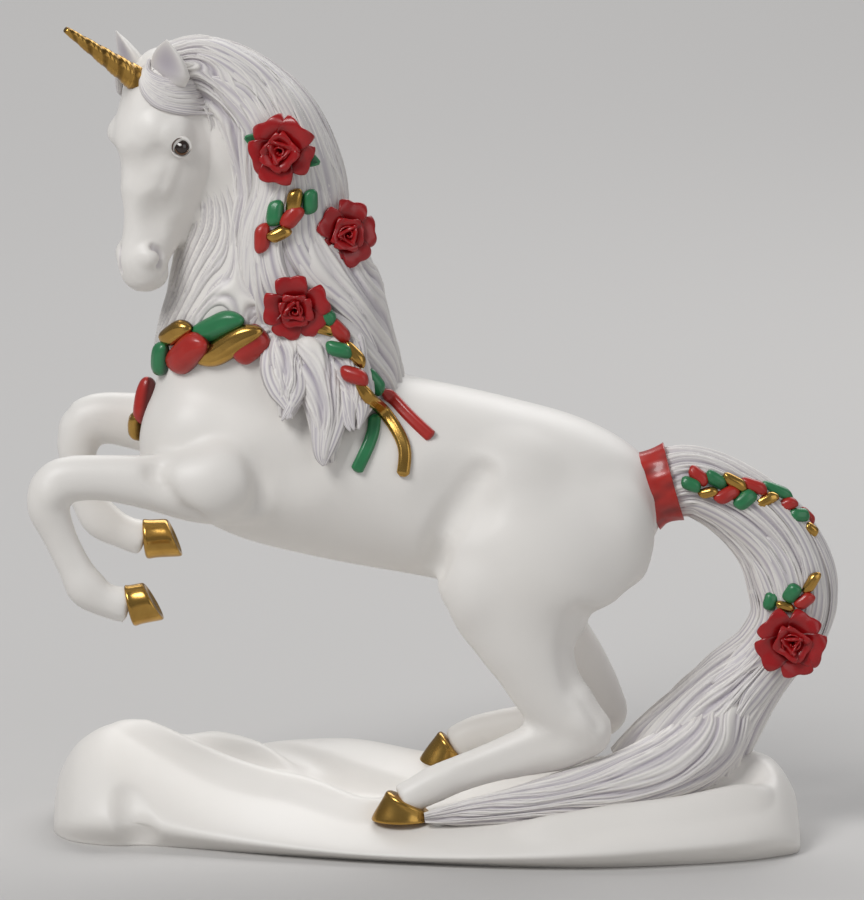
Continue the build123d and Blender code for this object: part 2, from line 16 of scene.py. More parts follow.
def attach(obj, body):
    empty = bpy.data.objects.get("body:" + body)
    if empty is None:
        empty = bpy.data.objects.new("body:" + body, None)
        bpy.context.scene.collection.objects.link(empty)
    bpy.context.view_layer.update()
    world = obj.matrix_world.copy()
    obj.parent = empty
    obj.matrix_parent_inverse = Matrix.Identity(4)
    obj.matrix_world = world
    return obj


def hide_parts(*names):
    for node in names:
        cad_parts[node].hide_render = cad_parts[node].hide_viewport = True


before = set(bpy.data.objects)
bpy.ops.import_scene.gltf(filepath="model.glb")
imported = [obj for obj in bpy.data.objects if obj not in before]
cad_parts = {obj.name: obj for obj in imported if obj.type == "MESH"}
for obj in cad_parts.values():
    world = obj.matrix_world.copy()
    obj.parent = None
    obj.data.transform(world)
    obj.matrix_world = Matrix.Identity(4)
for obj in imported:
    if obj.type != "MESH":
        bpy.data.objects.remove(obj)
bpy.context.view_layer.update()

LOG = logging.getLogger("unicorn")
MM = 0.001
SEED = 7
TURN = 2 * math.pi
PHASE = 6.28               # range of a random phase, in radians
WELD = 1e-7                # gap over which the edges of a closed skin are joined, in metres
SIDE = np.array([0.0, 1.0, 0.0])
UP = np.array([0.0, 0.0, 1.0])
MIX_A, MIX_B, MIX_RESULT = 6, 7, 2     # colour sockets of a Mix node
Array = np.ndarray
Point = tuple[float, float, float]
Row = tuple[float, ...]
Rows = list[Row]
Touch = tuple[Point, float, float]     # a place, how far round it the tool reaches, and how high it lifts


class Colour(Enum):
    """The enamels of the ribbons."""

    RED = "red"
    GREEN = "green"
    GOLD = "gold"


def linear(hex_colour: str) -> tuple[float, float, float, float]:
    """Turns an sRGB hex colour into linear RGBA.

    Args:
        hex_colour: Colour as "#rrggbb".

    Returns:
        Linear red, green, blue and an alpha of 1.
    """
    parts = [int(hex_colour[i:i + 2], 16) / 255 for i in (1, 3, 5)]
    made = [c / 12.92 if c <= 0.04045 else ((c + 0.055) / 1.055) ** 2.4 for c in parts]
    return (*made, 1.0)


def unit(vectors: Array) -> Array:
    """Scales vectors along the last axis to length 1."""
    return vectors / np.maximum(np.linalg.norm(vectors, axis=-1, keepdims=True), 1e-9)


def circle(count: int) -> Array:
    """Angles spread evenly over a full turn, in radians."""
    return np.linspace(0, TURN, count, endpoint=False)


def table(rows: list | dict) -> Any:
    """Dataclass field that holds a table of sizes."""
    return field(default_factory=lambda: type(rows)(rows))


def taper(share: Array, start: tuple[float, float], end: tuple[float, float], power: float) -> Array:
    """Swells a run from its start and draws it in at its end.

    Args:
        share: Share of the length at each point.
        start: How fast it swells, and its size at the very start.
        end: How fast it draws in, and its size at the very end.
        power: Roundness of both, where less is rounder.

    Returns:
        Size at each point, from 0 to 1.
    """
    swelling = share * start[0] + start[1]
    drawing = (1 - share) * end[0] + end[1]
    return np.clip(np.minimum(swelling, drawing), 0, 1) ** power


def spun(grid: Array, turn_deg: float) -> Array:
    """Turns points about Z.

    Args:
        grid: Points, with x, y and z in the last axis.
        turn_deg: Angle of the turn.

    Returns:
        The turned points.
    """
    t = math.radians(turn_deg)
    return grid @ np.array([[math.cos(t), math.sin(t), 0], [-math.sin(t), math.cos(t), 0], [0, 0, 1]])


def smooth_rows(rows: Rows | Array, samples: int) -> Array:
    """Runs a smooth curve through rows of numbers.

    Args:
        rows: Points to pass through, with any number of columns.
        samples: Number of rows wanted.

    Returns:
        Array of samples rows, evenly spread over the given ones.
    """
    points = np.asarray(rows, float)
    wide = np.vstack([2 * points[0] - points[1], points, 2 * points[-1] - points[-2]])
    at = np.linspace(0, len(points) - 1, samples)
    i = np.minimum(at.astype(int), len(points) - 2)
    u = (at - i)[:, None]
    a, b, c, d = wide[i], wide[i + 1], wide[i + 2], wide[i + 3]
    return 0.5 * (2 * b + (c - a) * u + (2 * a - 5 * b + 4 * c - d) * u ** 2
                  + (3 * b - a - 3 * c + d) * u ** 3)


def add_node(tree: bpy.types.NodeTree, kind: str, settings: dict | None = None,
             links: dict | None = None) -> bpy.types.Node:
    """Adds a shader node.

    Args:
        tree: Node tree of the material.
        kind: Node type, such as "ShaderNodeTexNoise".
        settings: Attributes by name, or socket values by socket name.
        links: Sockets to link from, by the name of the input socket.

    Returns:
        The new node.
    """
    node = tree.nodes.new(kind)
    for name, value in (settings or {}).items():
        if name in node.inputs:
            node.inputs[name].default_value = value
        else:
            setattr(node, name, value)
    for name, source in (links or {}).items():
        tree.links.new(source, node.inputs[name])
    return node


@dataclass(frozen=True)
class Finish:
    """A fired surface: two colours that cloud into each other, a painted shade in the hollows, and a grit."""

    name: str
    base: str
    cloud: str
    hollow: str
    roughness: float
    rough_spread: float
    cloud_mm: float
    grit_mm: float
    grit_depth: float
    metallic: float = 0.0
    coat: float = 0.0
    grit_high_mm: float = 0.1

    def material(self) -> bpy.types.Material:
        """Builds the node material.

        Returns:
            The material, made once and then reused.
        """
        found = bpy.data.materials.get(self.name)
        if found:
            return found
        material = bpy.data.materials.new(self.name)
        material.use_nodes = True
        tree = material.node_tree
        shader = tree.nodes["Principled BSDF"]
        shader.inputs["Metallic"].default_value = self.metallic
        shader.inputs["Coat Weight"].default_value = self.coat
        place = add_node(tree, "ShaderNodeTexCoord").outputs["Object"]
        cloud = add_node(tree, "ShaderNodeTexNoise",
                         {"Scale": 1 / (self.cloud_mm * MM), "Detail": 3.0}, {"Vector": place})
        tone = add_node(tree, "ShaderNodeMix", {"data_type": "RGBA"}, {"Factor": cloud.outputs["Fac"]})
        tone.inputs[MIX_A].default_value = linear(self.base)
        tone.inputs[MIX_B].default_value = linear(self.cloud)
        # Painted shade: the groove attribute mixes the hollow colour into grooves, folds, slits and edges
        groove = add_node(tree, "ShaderNodeAttribute", {"attribute_name": "groove"})
        tint = add_node(tree, "ShaderNodeMix", {"data_type": "RGBA"}, {"Factor": groove.outputs["Fac"]})
        tree.links.new(tone.outputs[MIX_RESULT], tint.inputs[MIX_A])
        tint.inputs[MIX_B].default_value = linear(self.hollow)
        tree.links.new(tint.outputs[MIX_RESULT], shader.inputs["Base Color"])
        gloss = add_node(tree, "ShaderNodeMapRange",
                         {"To Min": self.roughness - self.rough_spread,
                          "To Max": self.roughness + self.rough_spread},
                         {"Value": cloud.outputs["Fac"]})
        tree.links.new(gloss.outputs["Result"], shader.inputs["Roughness"])
        grit = add_node(tree, "ShaderNodeTexNoise",
                        {"Scale": 1 / (self.grit_mm * MM), "Detail": 2.0}, {"Vector": place})
        bump = add_node(tree, "ShaderNodeBump",
                        {"Strength": self.grit_depth, "Distance": self.grit_high_mm * MM},
                        {"Height": grit.outputs["Fac"]})
        tree.links.new(bump.outputs["Normal"], shader.inputs["Normal"])
        return material


# The grit of each finish is about ten times coarser than the real grain, which is too fine to show.
# Unglazed porcelain, cast and sanded: soft sheen, faint warm clouds, and a lilac-grey painted shade in the
# hollows
BISQUE = Finish("bisque_porcelain", "#EDEAE6", "#E4E0DA", "#A79FAC", 0.46, 0.05, 34, 0.5, 0.08)
# Burnished gold lustre over glaze: bright, with brown pools where it was laid thick, and a dark brown painted
# shade in the grooves and round the lobes' edges
GILDING = Finish("burnished_gold_lustre", "#D2A95C", "#9C7436", "#4A3216", 0.24, 0.07, 5, 0.6, 0.12,
                 metallic=1.0)
# Red overglaze enamel on thin hand-rolled petals: deep, with a painted shade darkening the folds towards the
# heart of the flower
ROSE_RED = Finish("rose_red_enamel", "#AE0B11", "#8A080D", "#360305", 0.32, 0.06, 4, 0.7, 0.12,
                  coat=0.15)
# Red overglaze enamel on pressed ribbon: thicker and warmer, with a painted shade at the edges, on the
# undersides and in the folds
RIBBON_RED = Finish("ribbon_red_enamel", "#B92A1F", "#9C1D18", "#5A100C", 0.36, 0.06, 4, 0.7, 0.12,
                    coat=0.2)
# Copper green enamel on ribbon and leaves: even, with a painted shade at the ribbons' edges and along the
# leaves' creased middles
RIBBON_GREEN = Finish("ribbon_green_enamel", "#2E8352", "#226A41", "#123A24", 0.36, 0.06, 4, 0.7, 0.12,
                      coat=0.2)
# Black-brown glaze, glossy as wet glass
EYE_GLAZE = Finish("eye_black_glaze", "#1A100C", "#2C1A10", "#0A0605", 0.08, 0.02, 1, 0.5, 0.0, coat=0.6)
# Matt umber paint, brushed on as a fine line
LASH_PAINT = Finish("lash_brown_paint", "#5A463C", "#4A382F", "#2E221C", 0.5, 0.05, 2, 0.5, 0.05)
# Thin brown glaze round the pupil, lighter where it was wiped
IRIS_PAINT = Finish("iris_brown_paint", "#6B4A30", "#553822", "#2E1C10", 0.3, 0.05, 1, 0.5, 0.0, coat=0.4)
# Painted highlight: a dot of white paint for the glint on the eye, which stays bright in any light
GLINT_PAINT = Finish("eye_glint_paint", "#F6F4F0", "#EFEDE8", "#D8D4D0", 0.3, 0.04, 2, 0.5, 0.0)
RIBBONS = {Colour.RED: RIBBON_RED, Colour.GREEN: RIBBON_GREEN, Colour.GOLD: GILDING}


class Clay:
    """A mesh in the making, in millimetres, to which tubes and patches are added."""

    def __init__(self) -> None:
        """Starts with nothing in it."""
        self.bm = bmesh.new()
        self.groove = self.bm.verts.layers.float.new("groove")

    def patch(self, grid: Array, groove: Array | None = None) -> list[bmesh.types.BMVert]:
        """Lays a sheet through a grid of points.

        Args:
            grid: Points, as rows by columns by 3.
            groove: How deep in a hollow each point is, from 0 to 1.

        Returns:
            The vertices, row by row.
        """
        rows, columns = grid.shape[:2]
        made = bmesh.ops.create_grid(self.bm, x_segments=columns - 1, y_segments=rows - 1, size=1)
        verts = made["verts"]
        for vert, place in zip(verts, grid.reshape(-1, 3) * MM):
            vert.co = place
        if groove is not None:
            for vert, depth in zip(verts, groove.reshape(-1)):
                vert[self.groove] = depth
        return verts

    def tube(self, rings: Array, groove: Array | None = None) -> None:
        """Skins a run of rings and closes both ends.

        Args:
            rings: Points, as rings by points round each by 3.
            groove: How deep in a hollow each point is, from 0 to 1.
        """
        ends = [np.repeat(rings[i].mean(0)[None], rings.shape[1], 0)[None] for i in (0, -1)]
        rings = np.concatenate([ends[0], rings, ends[1]])
        rings = np.concatenate([rings, rings[:, :1]], axis=1)
        if groove is not None:
            groove = np.concatenate([groove[:1], groove, groove[-1:]])
            groove = np.concatenate([groove, groove[:, :1]], axis=1)
        verts = self.patch(rings, groove)
        bmesh.ops.remove_doubles(self.bm, verts=verts, dist=WELD)

    def ball(self, centre: Array, axes: Array, half_sizes: Point) -> None:
        """Adds an ellipsoid.

        Args:
            centre: Middle point.
            axes: Three unit directions, as rows.
            half_sizes: Half size along each of them.
        """
        made = bmesh.ops.create_uvsphere(self.bm, u_segments=28, v_segments=18, radius=1)
        for vert in made["verts"]:
            local = np.array(vert.co) * half_sizes
            vert.co = (np.asarray(centre) + local @ np.asarray(axes)) * MM

    def piece(self, name: str, finish: Finish, slot: str, *nodes: str) -> bpy.types.Object:
        """Turns the mesh into a finished piece that stands for CAD nodes.

        Args:
            name: Name of the piece.
            finish: Its surface.
            slot: Its material slot.
            nodes: CAD nodes that it stands for.

        Returns:
            The object, riding on the figurine.
        """
        bmesh.ops.recalc_face_normals(self.bm, faces=self.bm.faces)
        mesh = bpy.data.meshes.new(name)
        self.bm.to_mesh(mesh)
        self.bm.free()
        made = bpy.data.objects.new(name, mesh)
        bpy.context.scene.collection.objects.link(made)
        return dress(made, finish, slot, *nodes)


def dress(piece: bpy.types.Object, finish: Finish, slot: str, *nodes: str) -> bpy.types.Object:
    """Gives a piece its finish and its place in the figurine.

    Args:
        piece: Mesh object in the row frame.
        finish: Its surface.
        slot: Its material slot; not used.
        nodes: CAD nodes that it stands for.

    Returns:
        The same object.
    """
    piece.data.materials.clear()
    piece.data.materials.append(finish.material())
    piece.data.shade_smooth()
    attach(piece, "root")
    if nodes:
        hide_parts(*nodes)
    LOG.info("%s: %d faces", piece.name, len(piece.data.polygons))
    return piece


@dataclass
class Loft:
    """A rounded run through stations: centre, half width across the body, half depth in its plane."""

    stations: Rows
    rings: int = 60
    sides: int = 40
    centres: Array = field(init=False)
    across: Array = field(init=False)
    depth: Array = field(init=False)
    halves: Array = field(init=False)

    def __post_init__(self) -> None:
        """Works out the frame at every ring."""
        rows = smooth_rows(self.stations, self.rings)
        self.centres = rows[:, :3]
        self.halves = np.maximum(rows[:, 3:5], 0.05)
        run = unit(np.gradient(self.centres, axis=0))
        self.across = unit(SIDE - run * (run @ SIDE)[:, None])
        self.depth = np.cross(run, self.across)

    def skin(self, angles: Array, grow: Array | float = 0.0) -> Array:
        """Points on the skin.

        Args:
            angles: Angle at each ring and place, in radians, from the far side round.
            grow: How far outside the skin, one number or one for each point.

        Returns:
            Points, as rings by places by 3.
        """
        half = self.halves[:, None] + np.broadcast_to(grow, angles.shape)[..., None]
        return (self.centres[:, None]
                + self.across[:, None] * (np.cos(angles) * half[..., 0])[..., None]
                + self.depth[:, None] * (np.sin(angles) * half[..., 1])[..., None])

    def tube(self, grow: float = 0.0) -> Array:
        """The whole skin as closed rings."""
        turn = circle(self.sides)
        return self.skin(np.repeat(turn[None], self.rings, 0), grow)


class Sculptor:
    """Moves the vertices of a finished mesh as a modelling tool would."""

    def __init__(self, mesh: bpy.types.Mesh) -> None:
        """Reads the mesh.

        Args:
            mesh: Mesh in metres, which is changed in place by write.
        """
        self.mesh = mesh
        self.co = np.empty(len(mesh.vertices) * 3)
        mesh.vertices.foreach_get("co", self.co)
        self.co = self.co.reshape(-1, 3) / MM
        edges = np.empty(len(mesh.edges) * 2, np.int64)
        mesh.edges.foreach_get("vertices", edges)
        self.edges = edges.reshape(-1, 2)
        self.count = np.bincount(edges, minlength=len(self.co))[:, None]

    def relax(self, rounds: int, weight: Array | float = 0.5) -> None:
        """Smooths the surface.

        Args:
            rounds: Number of passes.
            weight: Share of the way to the neighbours' mean, one number or one for each vertex.
        """
        share = np.broadcast_to(np.asarray(weight, float), (len(self.co),))[:, None]
        a, b = self.edges.T
        for _ in range(rounds):
            total = np.stack([np.bincount(a, self.co[b, k], len(self.co))
                              + np.bincount(b, self.co[a, k], len(self.co)) for k in range(3)], 1)
            self.co += (total / self.count - self.co) * share

    def near(self, centre: Array, reach: float) -> Array:
        """Smooth weight from 1 at a point to 0 at reach from it."""
        gap = np.linalg.norm(self.co - centre, axis=1) / reach
        return np.clip(1 - gap ** 2, 0, 1) ** 2

    def near_line(self, line: Array, reach: float) -> Array:
        """Smooth weight round a run of points."""
        return np.max([self.near(point, reach) for point in line], axis=0)

    def crest(self, line: Array, reach: float) -> Array:
        """Weight that falls evenly from 1 on a run of points, which leaves a crisp edge there."""
        return 1 - np.sqrt(1 - np.sqrt(self.near_line(line, reach)))

    def push(self, weight: Array, height: float) -> None:
        """Raises the surface along its normals.

        Args:
            weight: Share of the height that each vertex takes.
            height: Height where the weight is 1, in millimetres.
        """
        self.write()
        normals = np.empty(len(self.co) * 3)
        self.mesh.vertex_normals.foreach_get("vector", normals)
        self.co += normals.reshape(-1, 3) * (weight * height)[:, None]

    def write(self) -> None:
        """Puts the vertices back into the mesh."""
        self.mesh.vertices.foreach_set("co", (self.co * MM).ravel())
        self.mesh.update()

    def tint(self, depth: Array) -> None:
        """Stores how deep in a hollow each vertex is, for the painted shade in the hollows."""
        layer = self.mesh.attributes.get("groove") or self.mesh.attributes.new("groove", "FLOAT", "POINT")
        layer.data.foreach_set("value", np.clip(depth, 0, 1).astype(np.float32))


def fuse(piece: bpy.types.Object, voxel_mm: float) -> None:
    """Melts overlapping closed shapes of a piece into one skin.

    Args:
        piece: Mesh object.
        voxel_mm: Size of the new faces.
    """
    melt = piece.modifiers.new("melt", "REMESH")
    melt.mode = "VOXEL"
    melt.voxel_size = voxel_mm * MM
    graph = bpy.context.evaluated_depsgraph_get()
    mesh = bpy.data.meshes.new_from_object(piece.evaluated_get(graph))
    piece.modifiers.clear()
    piece.data = mesh


def round_off(piece: bpy.types.Object, thick_mm: float = 0.0) -> None:
    """Gives a sheet its thickness and rounds the faces of a piece.

    Args:
        piece: Mesh object.
        thick_mm: Thickness of the sheet, or 0 for a closed shape.
    """
    if thick_mm:
        body = piece.modifiers.new("thickness", "SOLIDIFY")
        body.thickness, body.offset = thick_mm * MM, 0
    finer = piece.modifiers.new("round", "SUBSURF")
    finer.levels = finer.render_levels = 1


@dataclass(frozen=True)
class HeadFrame:
    """Where the head hangs: from the poll, turned towards the dressed side."""

    poll: Point = (-73.0, -6.0, 212.0)
    turn_deg: float = 40.0
    nod_deg: float = 6.0

    def axes(self) -> tuple[Array, Array, Array]:
        """Works out the directions of the head.

        Returns:
            Unit directions down the head, out of the near cheek and out of the face.
        """
        turn, nod = math.radians(self.turn_deg), math.radians(self.nod_deg)
        ahead = np.array([-math.cos(turn), -math.sin(turn), 0.0])
        down = ahead * math.sin(nod) - UP * math.cos(nod)
        face = ahead * math.cos(nod) + UP * math.sin(nod)
        return down, np.cross(face, down), face

    def at(self, below: float, aside: float, out: float) -> Array:
        """Point at a place in the head."""
        down, cheek, face = self.axes()
        return np.array(self.poll) + down * below + cheek * aside + face * out

    def line(self, places: Rows, samples: int = 24) -> Array:
        """Smooth run of points through places in the head."""
        return np.array([self.at(*row) for row in smooth_rows(places, samples)])


HEAD = HeadFrame()


@dataclass
class Body:
    """The white casting: trunk, neck, head and legs, fused and smoothed as luted porcelain is."""

    voxel_mm: float = 1.0
    trunk: Rows = table([
        (-78.5, 0, 113, 4, 5), (-76, 0, 112.5, 11, 11), (-71, 0, 111, 17.5, 17), (-61, 0, 109, 22, 21),
        (-46, 0, 106, 24, 25), (-26, 0, 102.5, 25, 26.5), (-3, 0, 98, 25, 26.5), (17, 0, 94, 24.5, 26),
        (36, 0, 91.5, 23, 23.5), (50, 0, 90, 18.5, 18.5), (59, 0, 89, 10.5, 11.5), (62.5, 0, 88.5, 4, 5)])
    neck: Rows = table([
        (-40, 0, 116, 21, 33), (-44, 0, 134, 18, 31), (-45.5, 0, 152, 15.5, 25), (-47, 0, 171, 12.3, 20),
        (-52.5, -0.5, 189, 9.8, 16.5), (-61, -2, 202, 8.5, 12)])
    legs: list[Rows] = table([
        [(-40, -12, 108, 8, 13), (-51, -16.5, 102, 10, 14), (-62, -19, 99.3, 8.6, 10.3),
         (-75, -20.5, 100.6, 6.5, 7.7), (-88, -21, 102, 5.7, 6.3), (-98, -21, 101.6, 5.8, 6.3),
         (-103, -21, 99.5, 5.4, 5.6)],
        [(-101, -21, 102, 5, 5.2), (-103, -21, 95, 5.5, 5.9), (-99.8, -21, 86, 4.3, 4.8),
         (-95.8, -21, 77.5, 4.2, 4.8), (-92.5, -21, 71.8, 4.9, 5.7), (-87.5, -21, 68.4, 4.2, 4.7),
         (-81.2, -21, 67, 4.7, 5.4)],
        [(-44, 12, 110, 8, 13), (-56, 16, 108, 9.5, 12.5), (-68, 18, 108.4, 8, 9.6),
         (-80, 19, 109.8, 6.6, 8), (-90, 19.5, 110.8, 6, 7), (-96.5, 19.5, 109, 5.6, 6.2)],
        [(-94, 19.5, 111, 5, 5.2), (-96.3, 19.5, 104.5, 5.5, 5.9), (-96.2, 19.5, 96, 4.3, 4.8),
         (-94, 19.5, 88.5, 4.3, 4.8), (-90.2, 19.5, 82.6, 4.9, 5.6), (-84.2, 19.5, 79, 4.3, 4.8),
         (-78.2, 19.5, 77, 4.8, 5.2)],
        [(38, -9.5, 102, 8, 15), (35.5, -14, 90, 12.5, 26.5), (27.3, -17.5, 77.6, 13.5, 26.6),
         (24.2, -19.5, 67.3, 12.3, 20.8), (25.3, -21, 58.5, 10.2, 14.9), (27.8, -21.7, 51, 8.6, 11.2),
         (31.2, -22, 44, 7.3, 9.8), (36, -22, 38, 6.6, 9.2), (40.5, -22, 33.5, 6, 7.6)],
        [(43, -22, 31.5, 5, 6), (34, -22.3, 29.8, 5.5, 8), (24.5, -22.8, 27, 5, 6.8),
         (15, -23.2, 24, 4.6, 5.5), (6, -23.6, 20.8, 4.6, 5.1), (0, -23.9, 18.2, 4.9, 5.2),
         (-4.5, -24.1, 15.8, 4.5, 4.7), (-8, -24.3, 13.8, 4.9, 5.1)],
        [(38, 9.5, 102, 8, 15), (33.5, 14, 90, 12.5, 24.5), (27, 17.5, 77, 13.5, 24.5),
         (26.5, 19, 66.5, 12.3, 19), (28, 20, 58, 10.2, 14), (32.5, 20.5, 50, 8.6, 11),
         (38.5, 20.5, 42, 7.3, 9.7), (43, 20.5, 35, 6.6, 8.7), (46, 20.5, 30, 6, 7.6)],
        [(48, 20.5, 27.5, 5, 6), (39.5, 20.7, 26.2, 5.5, 7.6), (29.5, 21, 24.6, 5, 6.6),
         (20, 21.4, 23.4, 4.7, 6), (13, 21.7, 22, 4.7, 5.6), (9, 21.9, 20.4, 4.9, 5.3),
         (5.5, 22, 18.6, 4.8, 5)]])
    joints: Rows = table([
        (-102, -21, 98.5, 6.4, 5.8, 6.6), (-95.6, 19.5, 107.5, 6.4, 5.8, 6.6),
        (41, -22, 32.8, 7.8, 6.0, 7.8), (46.2, 20.5, 29.2, 7.8, 6.0, 7.8)])
    # Head: how far below the poll, out of the face, half width and half depth
    skull: Rows = table([
        (-4, -4, 4, 5), (-1.5, -4, 6.8, 8.5), (4, -3.4, 9.2, 11.5), (12, -4.2, 11, 14.2),
        (20, -4.9, 11.8, 16.1), (29, -6.8, 10.4, 16.4), (37, -7, 8.6, 14.6), (43, -4.8, 7.2, 11.4),
        (48, -2.2, 6.6, 8.8), (53, 0.2, 6.7, 7.1), (57, -0.3, 6.2, 6.4), (60, -0.6, 4.6, 4.8),
        (61.6, -0.6, 2, 2)])
    brow: Point = (18.5, 9.4, -0.4)
    brow_half: Point = (4.0, 5.4, 6.0)
    fine_place: Point = (32, 0, -1)
    fine_reach: float = 38.0
    fine_above: float = 148.0
    # Where luted joints are blended, and how far round
    blends: list[tuple[Point, float]] = table([
        ((-46, -16, 107), 20), ((-50, 16, 108), 20), ((22, -20, 90), 32), ((22, 20, 90), 32),
        ((45, 0, 92), 34), ((-42, 0, 126), 42), ((-68, 0, 122), 24), ((0, 0, 74), 26)])
    muscles: list[Touch] = table([
        ((-68, -16, 120), 14, 1.2), ((24, -26, 107), 16, 2.6), ((7, -26, 98), 15, -2.8),
        ((30, -30, 80), 22, 1.6), ((9, -27, 71), 12, 1.8), ((-22, -25, 92), 24, -1.2),
        ((52, -16, 92), 13, 1.2), ((-102, -26, 98), 5, 0.9),
        ((41, -28, 36), 6, 0.9), ((-38, -26, 106), 14, -1.6), ((42, -28, 60), 10, -1.2),
        ((53, -17, 65), 11, -3.4), ((53, -10, 66), 9, -2), ((40, -20, 62), 8, 2.2), ((3.5, -18, 73), 9, 1.8)])
    domes: list[Touch] = table([
        ((-59.5, -28.5, 102), 13.2, 4.0), ((-64, 27, 107), 12, 2.6)])
    creases: list[tuple[Rows, float, float]] = table([
        ([(-74, -26, 103.5), (-68, -27, 97), (-61, -27, 89)], 4, -3.0),
        ([(-74, -25, 106), (-68, -26, 112.5), (-59, -27, 115.5), (-50, -27, 112.5), (-45.5, -26, 104),
          (-46, -25, 95)], 4.5, -1.8),
        ([(13, -25, 104), (7, -25, 95), (2.5, -23, 86), (1, -20, 77)], 6, -2.8),
        ([(40, -29, 66), (37, -29, 56), (38, -27, 46)], 5, -1.1),
        ([(38.3, -27, 55.3), (39, -27.5, 49), (40.8, -28, 42.9), (45, -27, 35.5)], 2.4, -1.1),
        ([(34, -27, 31), (22, -27.5, 27), (8, -28, 22)], 3, -0.5),
        ([(-98, -26, 84), (-95, -25.5, 77)], 2.5, -0.4)])
    # Features of the face, at places in the head
    brow_edges: dict[int, Touch] = table({
        1: ((16.5, 8.8, 6.2), 6, 1.3), -1: ((19.5, 8.8, 6.2), 6, 2.1)})
    features: list[Touch] = table([
        ((25, 9.4, 6), 5, -0.9), ((25, 9.8, -11), 13, 2.2), ((28, 4.5, 9.5), 8, -1.5),
        ((40, 6.6, 1), 8, -1.5), ((44, 6.2, -7), 6, -1.0), ((51, 6.4, 3.2), 4.6, 1.5),
        ((57, 3, -4), 4.2, 0.6)])
    cheek_crest: Rows = table([(26, 11, 0), (32, 9.6, 0.5), (39, 8, 1)])
    nostril_wing: Touch = ((51.6, 6.9, 2.2), 3.4, 0.5)
    # Nostrils: slit points, reach, depth, and the share of painted shade in the slit
    nostrils: list[tuple[Rows, float, float, float]] = table([
        ([(48.8, 6.4, 2.2), (49.6, 7, 0.4), (51.4, 7, -0.6), (53.6, 6.6, -0.2)], 1.6, 1.2, 0.45),
        ([(50.2, -2.7, 6.2), (53, -2.3, 6.8), (56.2, -2, 6.1)], 1.4, 1.6, 0.8)])
    mouth: Rows = table([
        (54.6, -6, -4.4), (57, -5.4, -1.5), (59.2, -3.2, 2), (60.2, 0, 3.2), (59.2, 3.2, 2), (57, 5.4, -1.5),
        (54.6, 6, -4.4)])

    def head_rings(self) -> Array:
        """Works out the skin of the head.

        Returns:
            Rings for a tube, from poll to lips.
        """
        _, cheek, face = HEAD.axes()
        turn = circle(40)
        rings = []
        for below, out, wide, deep in smooth_rows(self.skull, 70):
            middle = HEAD.at(below, 0, out)
            rings.append(middle + np.outer(np.cos(turn) * wide, cheek) + np.outer(np.sin(turn) * deep, face))
        return np.array(rings)

    def build(self) -> bpy.types.Object:
        """Builds the fused and sculpted body.

        Returns:
            The finished piece.
        """
        clay = Clay()
        for stations in (self.trunk, self.neck, *self.legs):
            clay.tube(Loft(stations).tube())
        clay.tube(self.head_rings())
        for x, y, z, *half in self.joints:
            clay.ball(np.array([x, y, z]), np.eye(3), tuple(half))
        down, cheek, face = HEAD.axes()
        for sign in (1, -1):
            below, aside, out = self.brow
            clay.ball(HEAD.at(below, aside * sign, out), np.array([cheek, face, down]), self.brow_half)
        piece = clay.piece("body_casting", BISQUE, "white", "torso_shell", "neck_shell", "head",
                           "left_foreleg", "right_foreleg", "left_hind_leg", "right_hind_leg")
        fuse(piece, self.voxel_mm)
        self.refine_head(piece)
        self.sculpt(piece)
        return dress(piece, BISQUE, "white")

    def refine_head(self, piece: bpy.types.Object) -> None:
        """Splits the faces of the head, where the modelling is finest.

        Args:
            piece: The fused body.
        """
        bm = bmesh.new()
        bm.from_mesh(piece.data)
        centre = Vector(HEAD.at(*self.fine_place) * MM)
        fine = [e for e in bm.edges if (e.verts[0].co - centre).length < self.fine_reach * MM
                and e.verts[0].co.z > self.fine_above * MM]
        bmesh.ops.subdivide_edges(bm, edges=fine, cuts=1, use_grid_fill=True)
        bmesh.ops.triangulate(bm, faces=[f for f in bm.faces if len(f.verts) > 4])
        bm.to_mesh(piece.data)
        bm.free()

    def sculpt(self, piece: bpy.types.Object) -> None:
        """Blends the luted joints and models muscle, brow, cheek, nostril and lip.

        Args:
            piece: The fused body.
        """
        tool = Sculptor(piece.data)
        tool.relax(6)
        blend = np.max([tool.near(np.array(centre), reach) for centre, reach in self.blends], axis=0)
        tool.relax(60, blend * 0.6)
        for centre, reach, height in self.domes:
            tool.push(np.sqrt(tool.near(np.array(centre), reach)), height)
        for side in (1, -1):
            for centre, reach, height in self.muscles:
                tool.push(tool.near(np.array(centre) * (1, side, 1), reach), height)
            for line, reach, height in self.creases:
                tool.push(tool.near_line(smooth_rows(line, 24) * (1, side, 1), reach), height)
        tool.relax(4, 0.4)
        for side in (1, -1):
            for (below, aside, out), reach, height in (self.brow_edges[side], *self.features):
                tool.push(tool.near(HEAD.at(below, aside * side, out), reach), height)
            crest = HEAD.line([(below, aside * side, out) for below, aside, out in self.cheek_crest])
            tool.push(tool.near_line(crest, 2.6), 0.5)
        tool.relax(3, 0.4)
        # Painted shade: the nostril slits and the mouth line are darkened through the groove attribute
        hollow = np.zeros(len(tool.co))
        wing, reach, height = self.nostril_wing
        tool.push(tool.near(HEAD.at(*wing), reach), height)
        for slit, reach, depth, painted_shade in self.nostrils:
            weight = tool.near_line(HEAD.line(slit, 15), reach)
            tool.push(weight, -depth)
            hollow = np.maximum(hollow, weight * painted_shade)
        weight = tool.near_line(HEAD.line(self.mouth, 50), 0.9)
        tool.push(weight, -0.25)
        hollow = np.maximum(hollow, weight * 0.15)
        tool.write()
        tool.tint(hollow)


class EyePart(Enum):
    """The separately painted parts of the eyes, by the name of their piece."""

    PUPIL = "eye_pupils"
    RIM = "iris_rims"
    LID = "eyelids"
    LASH = "lash_lines"
    GLINT = "eye_glints"


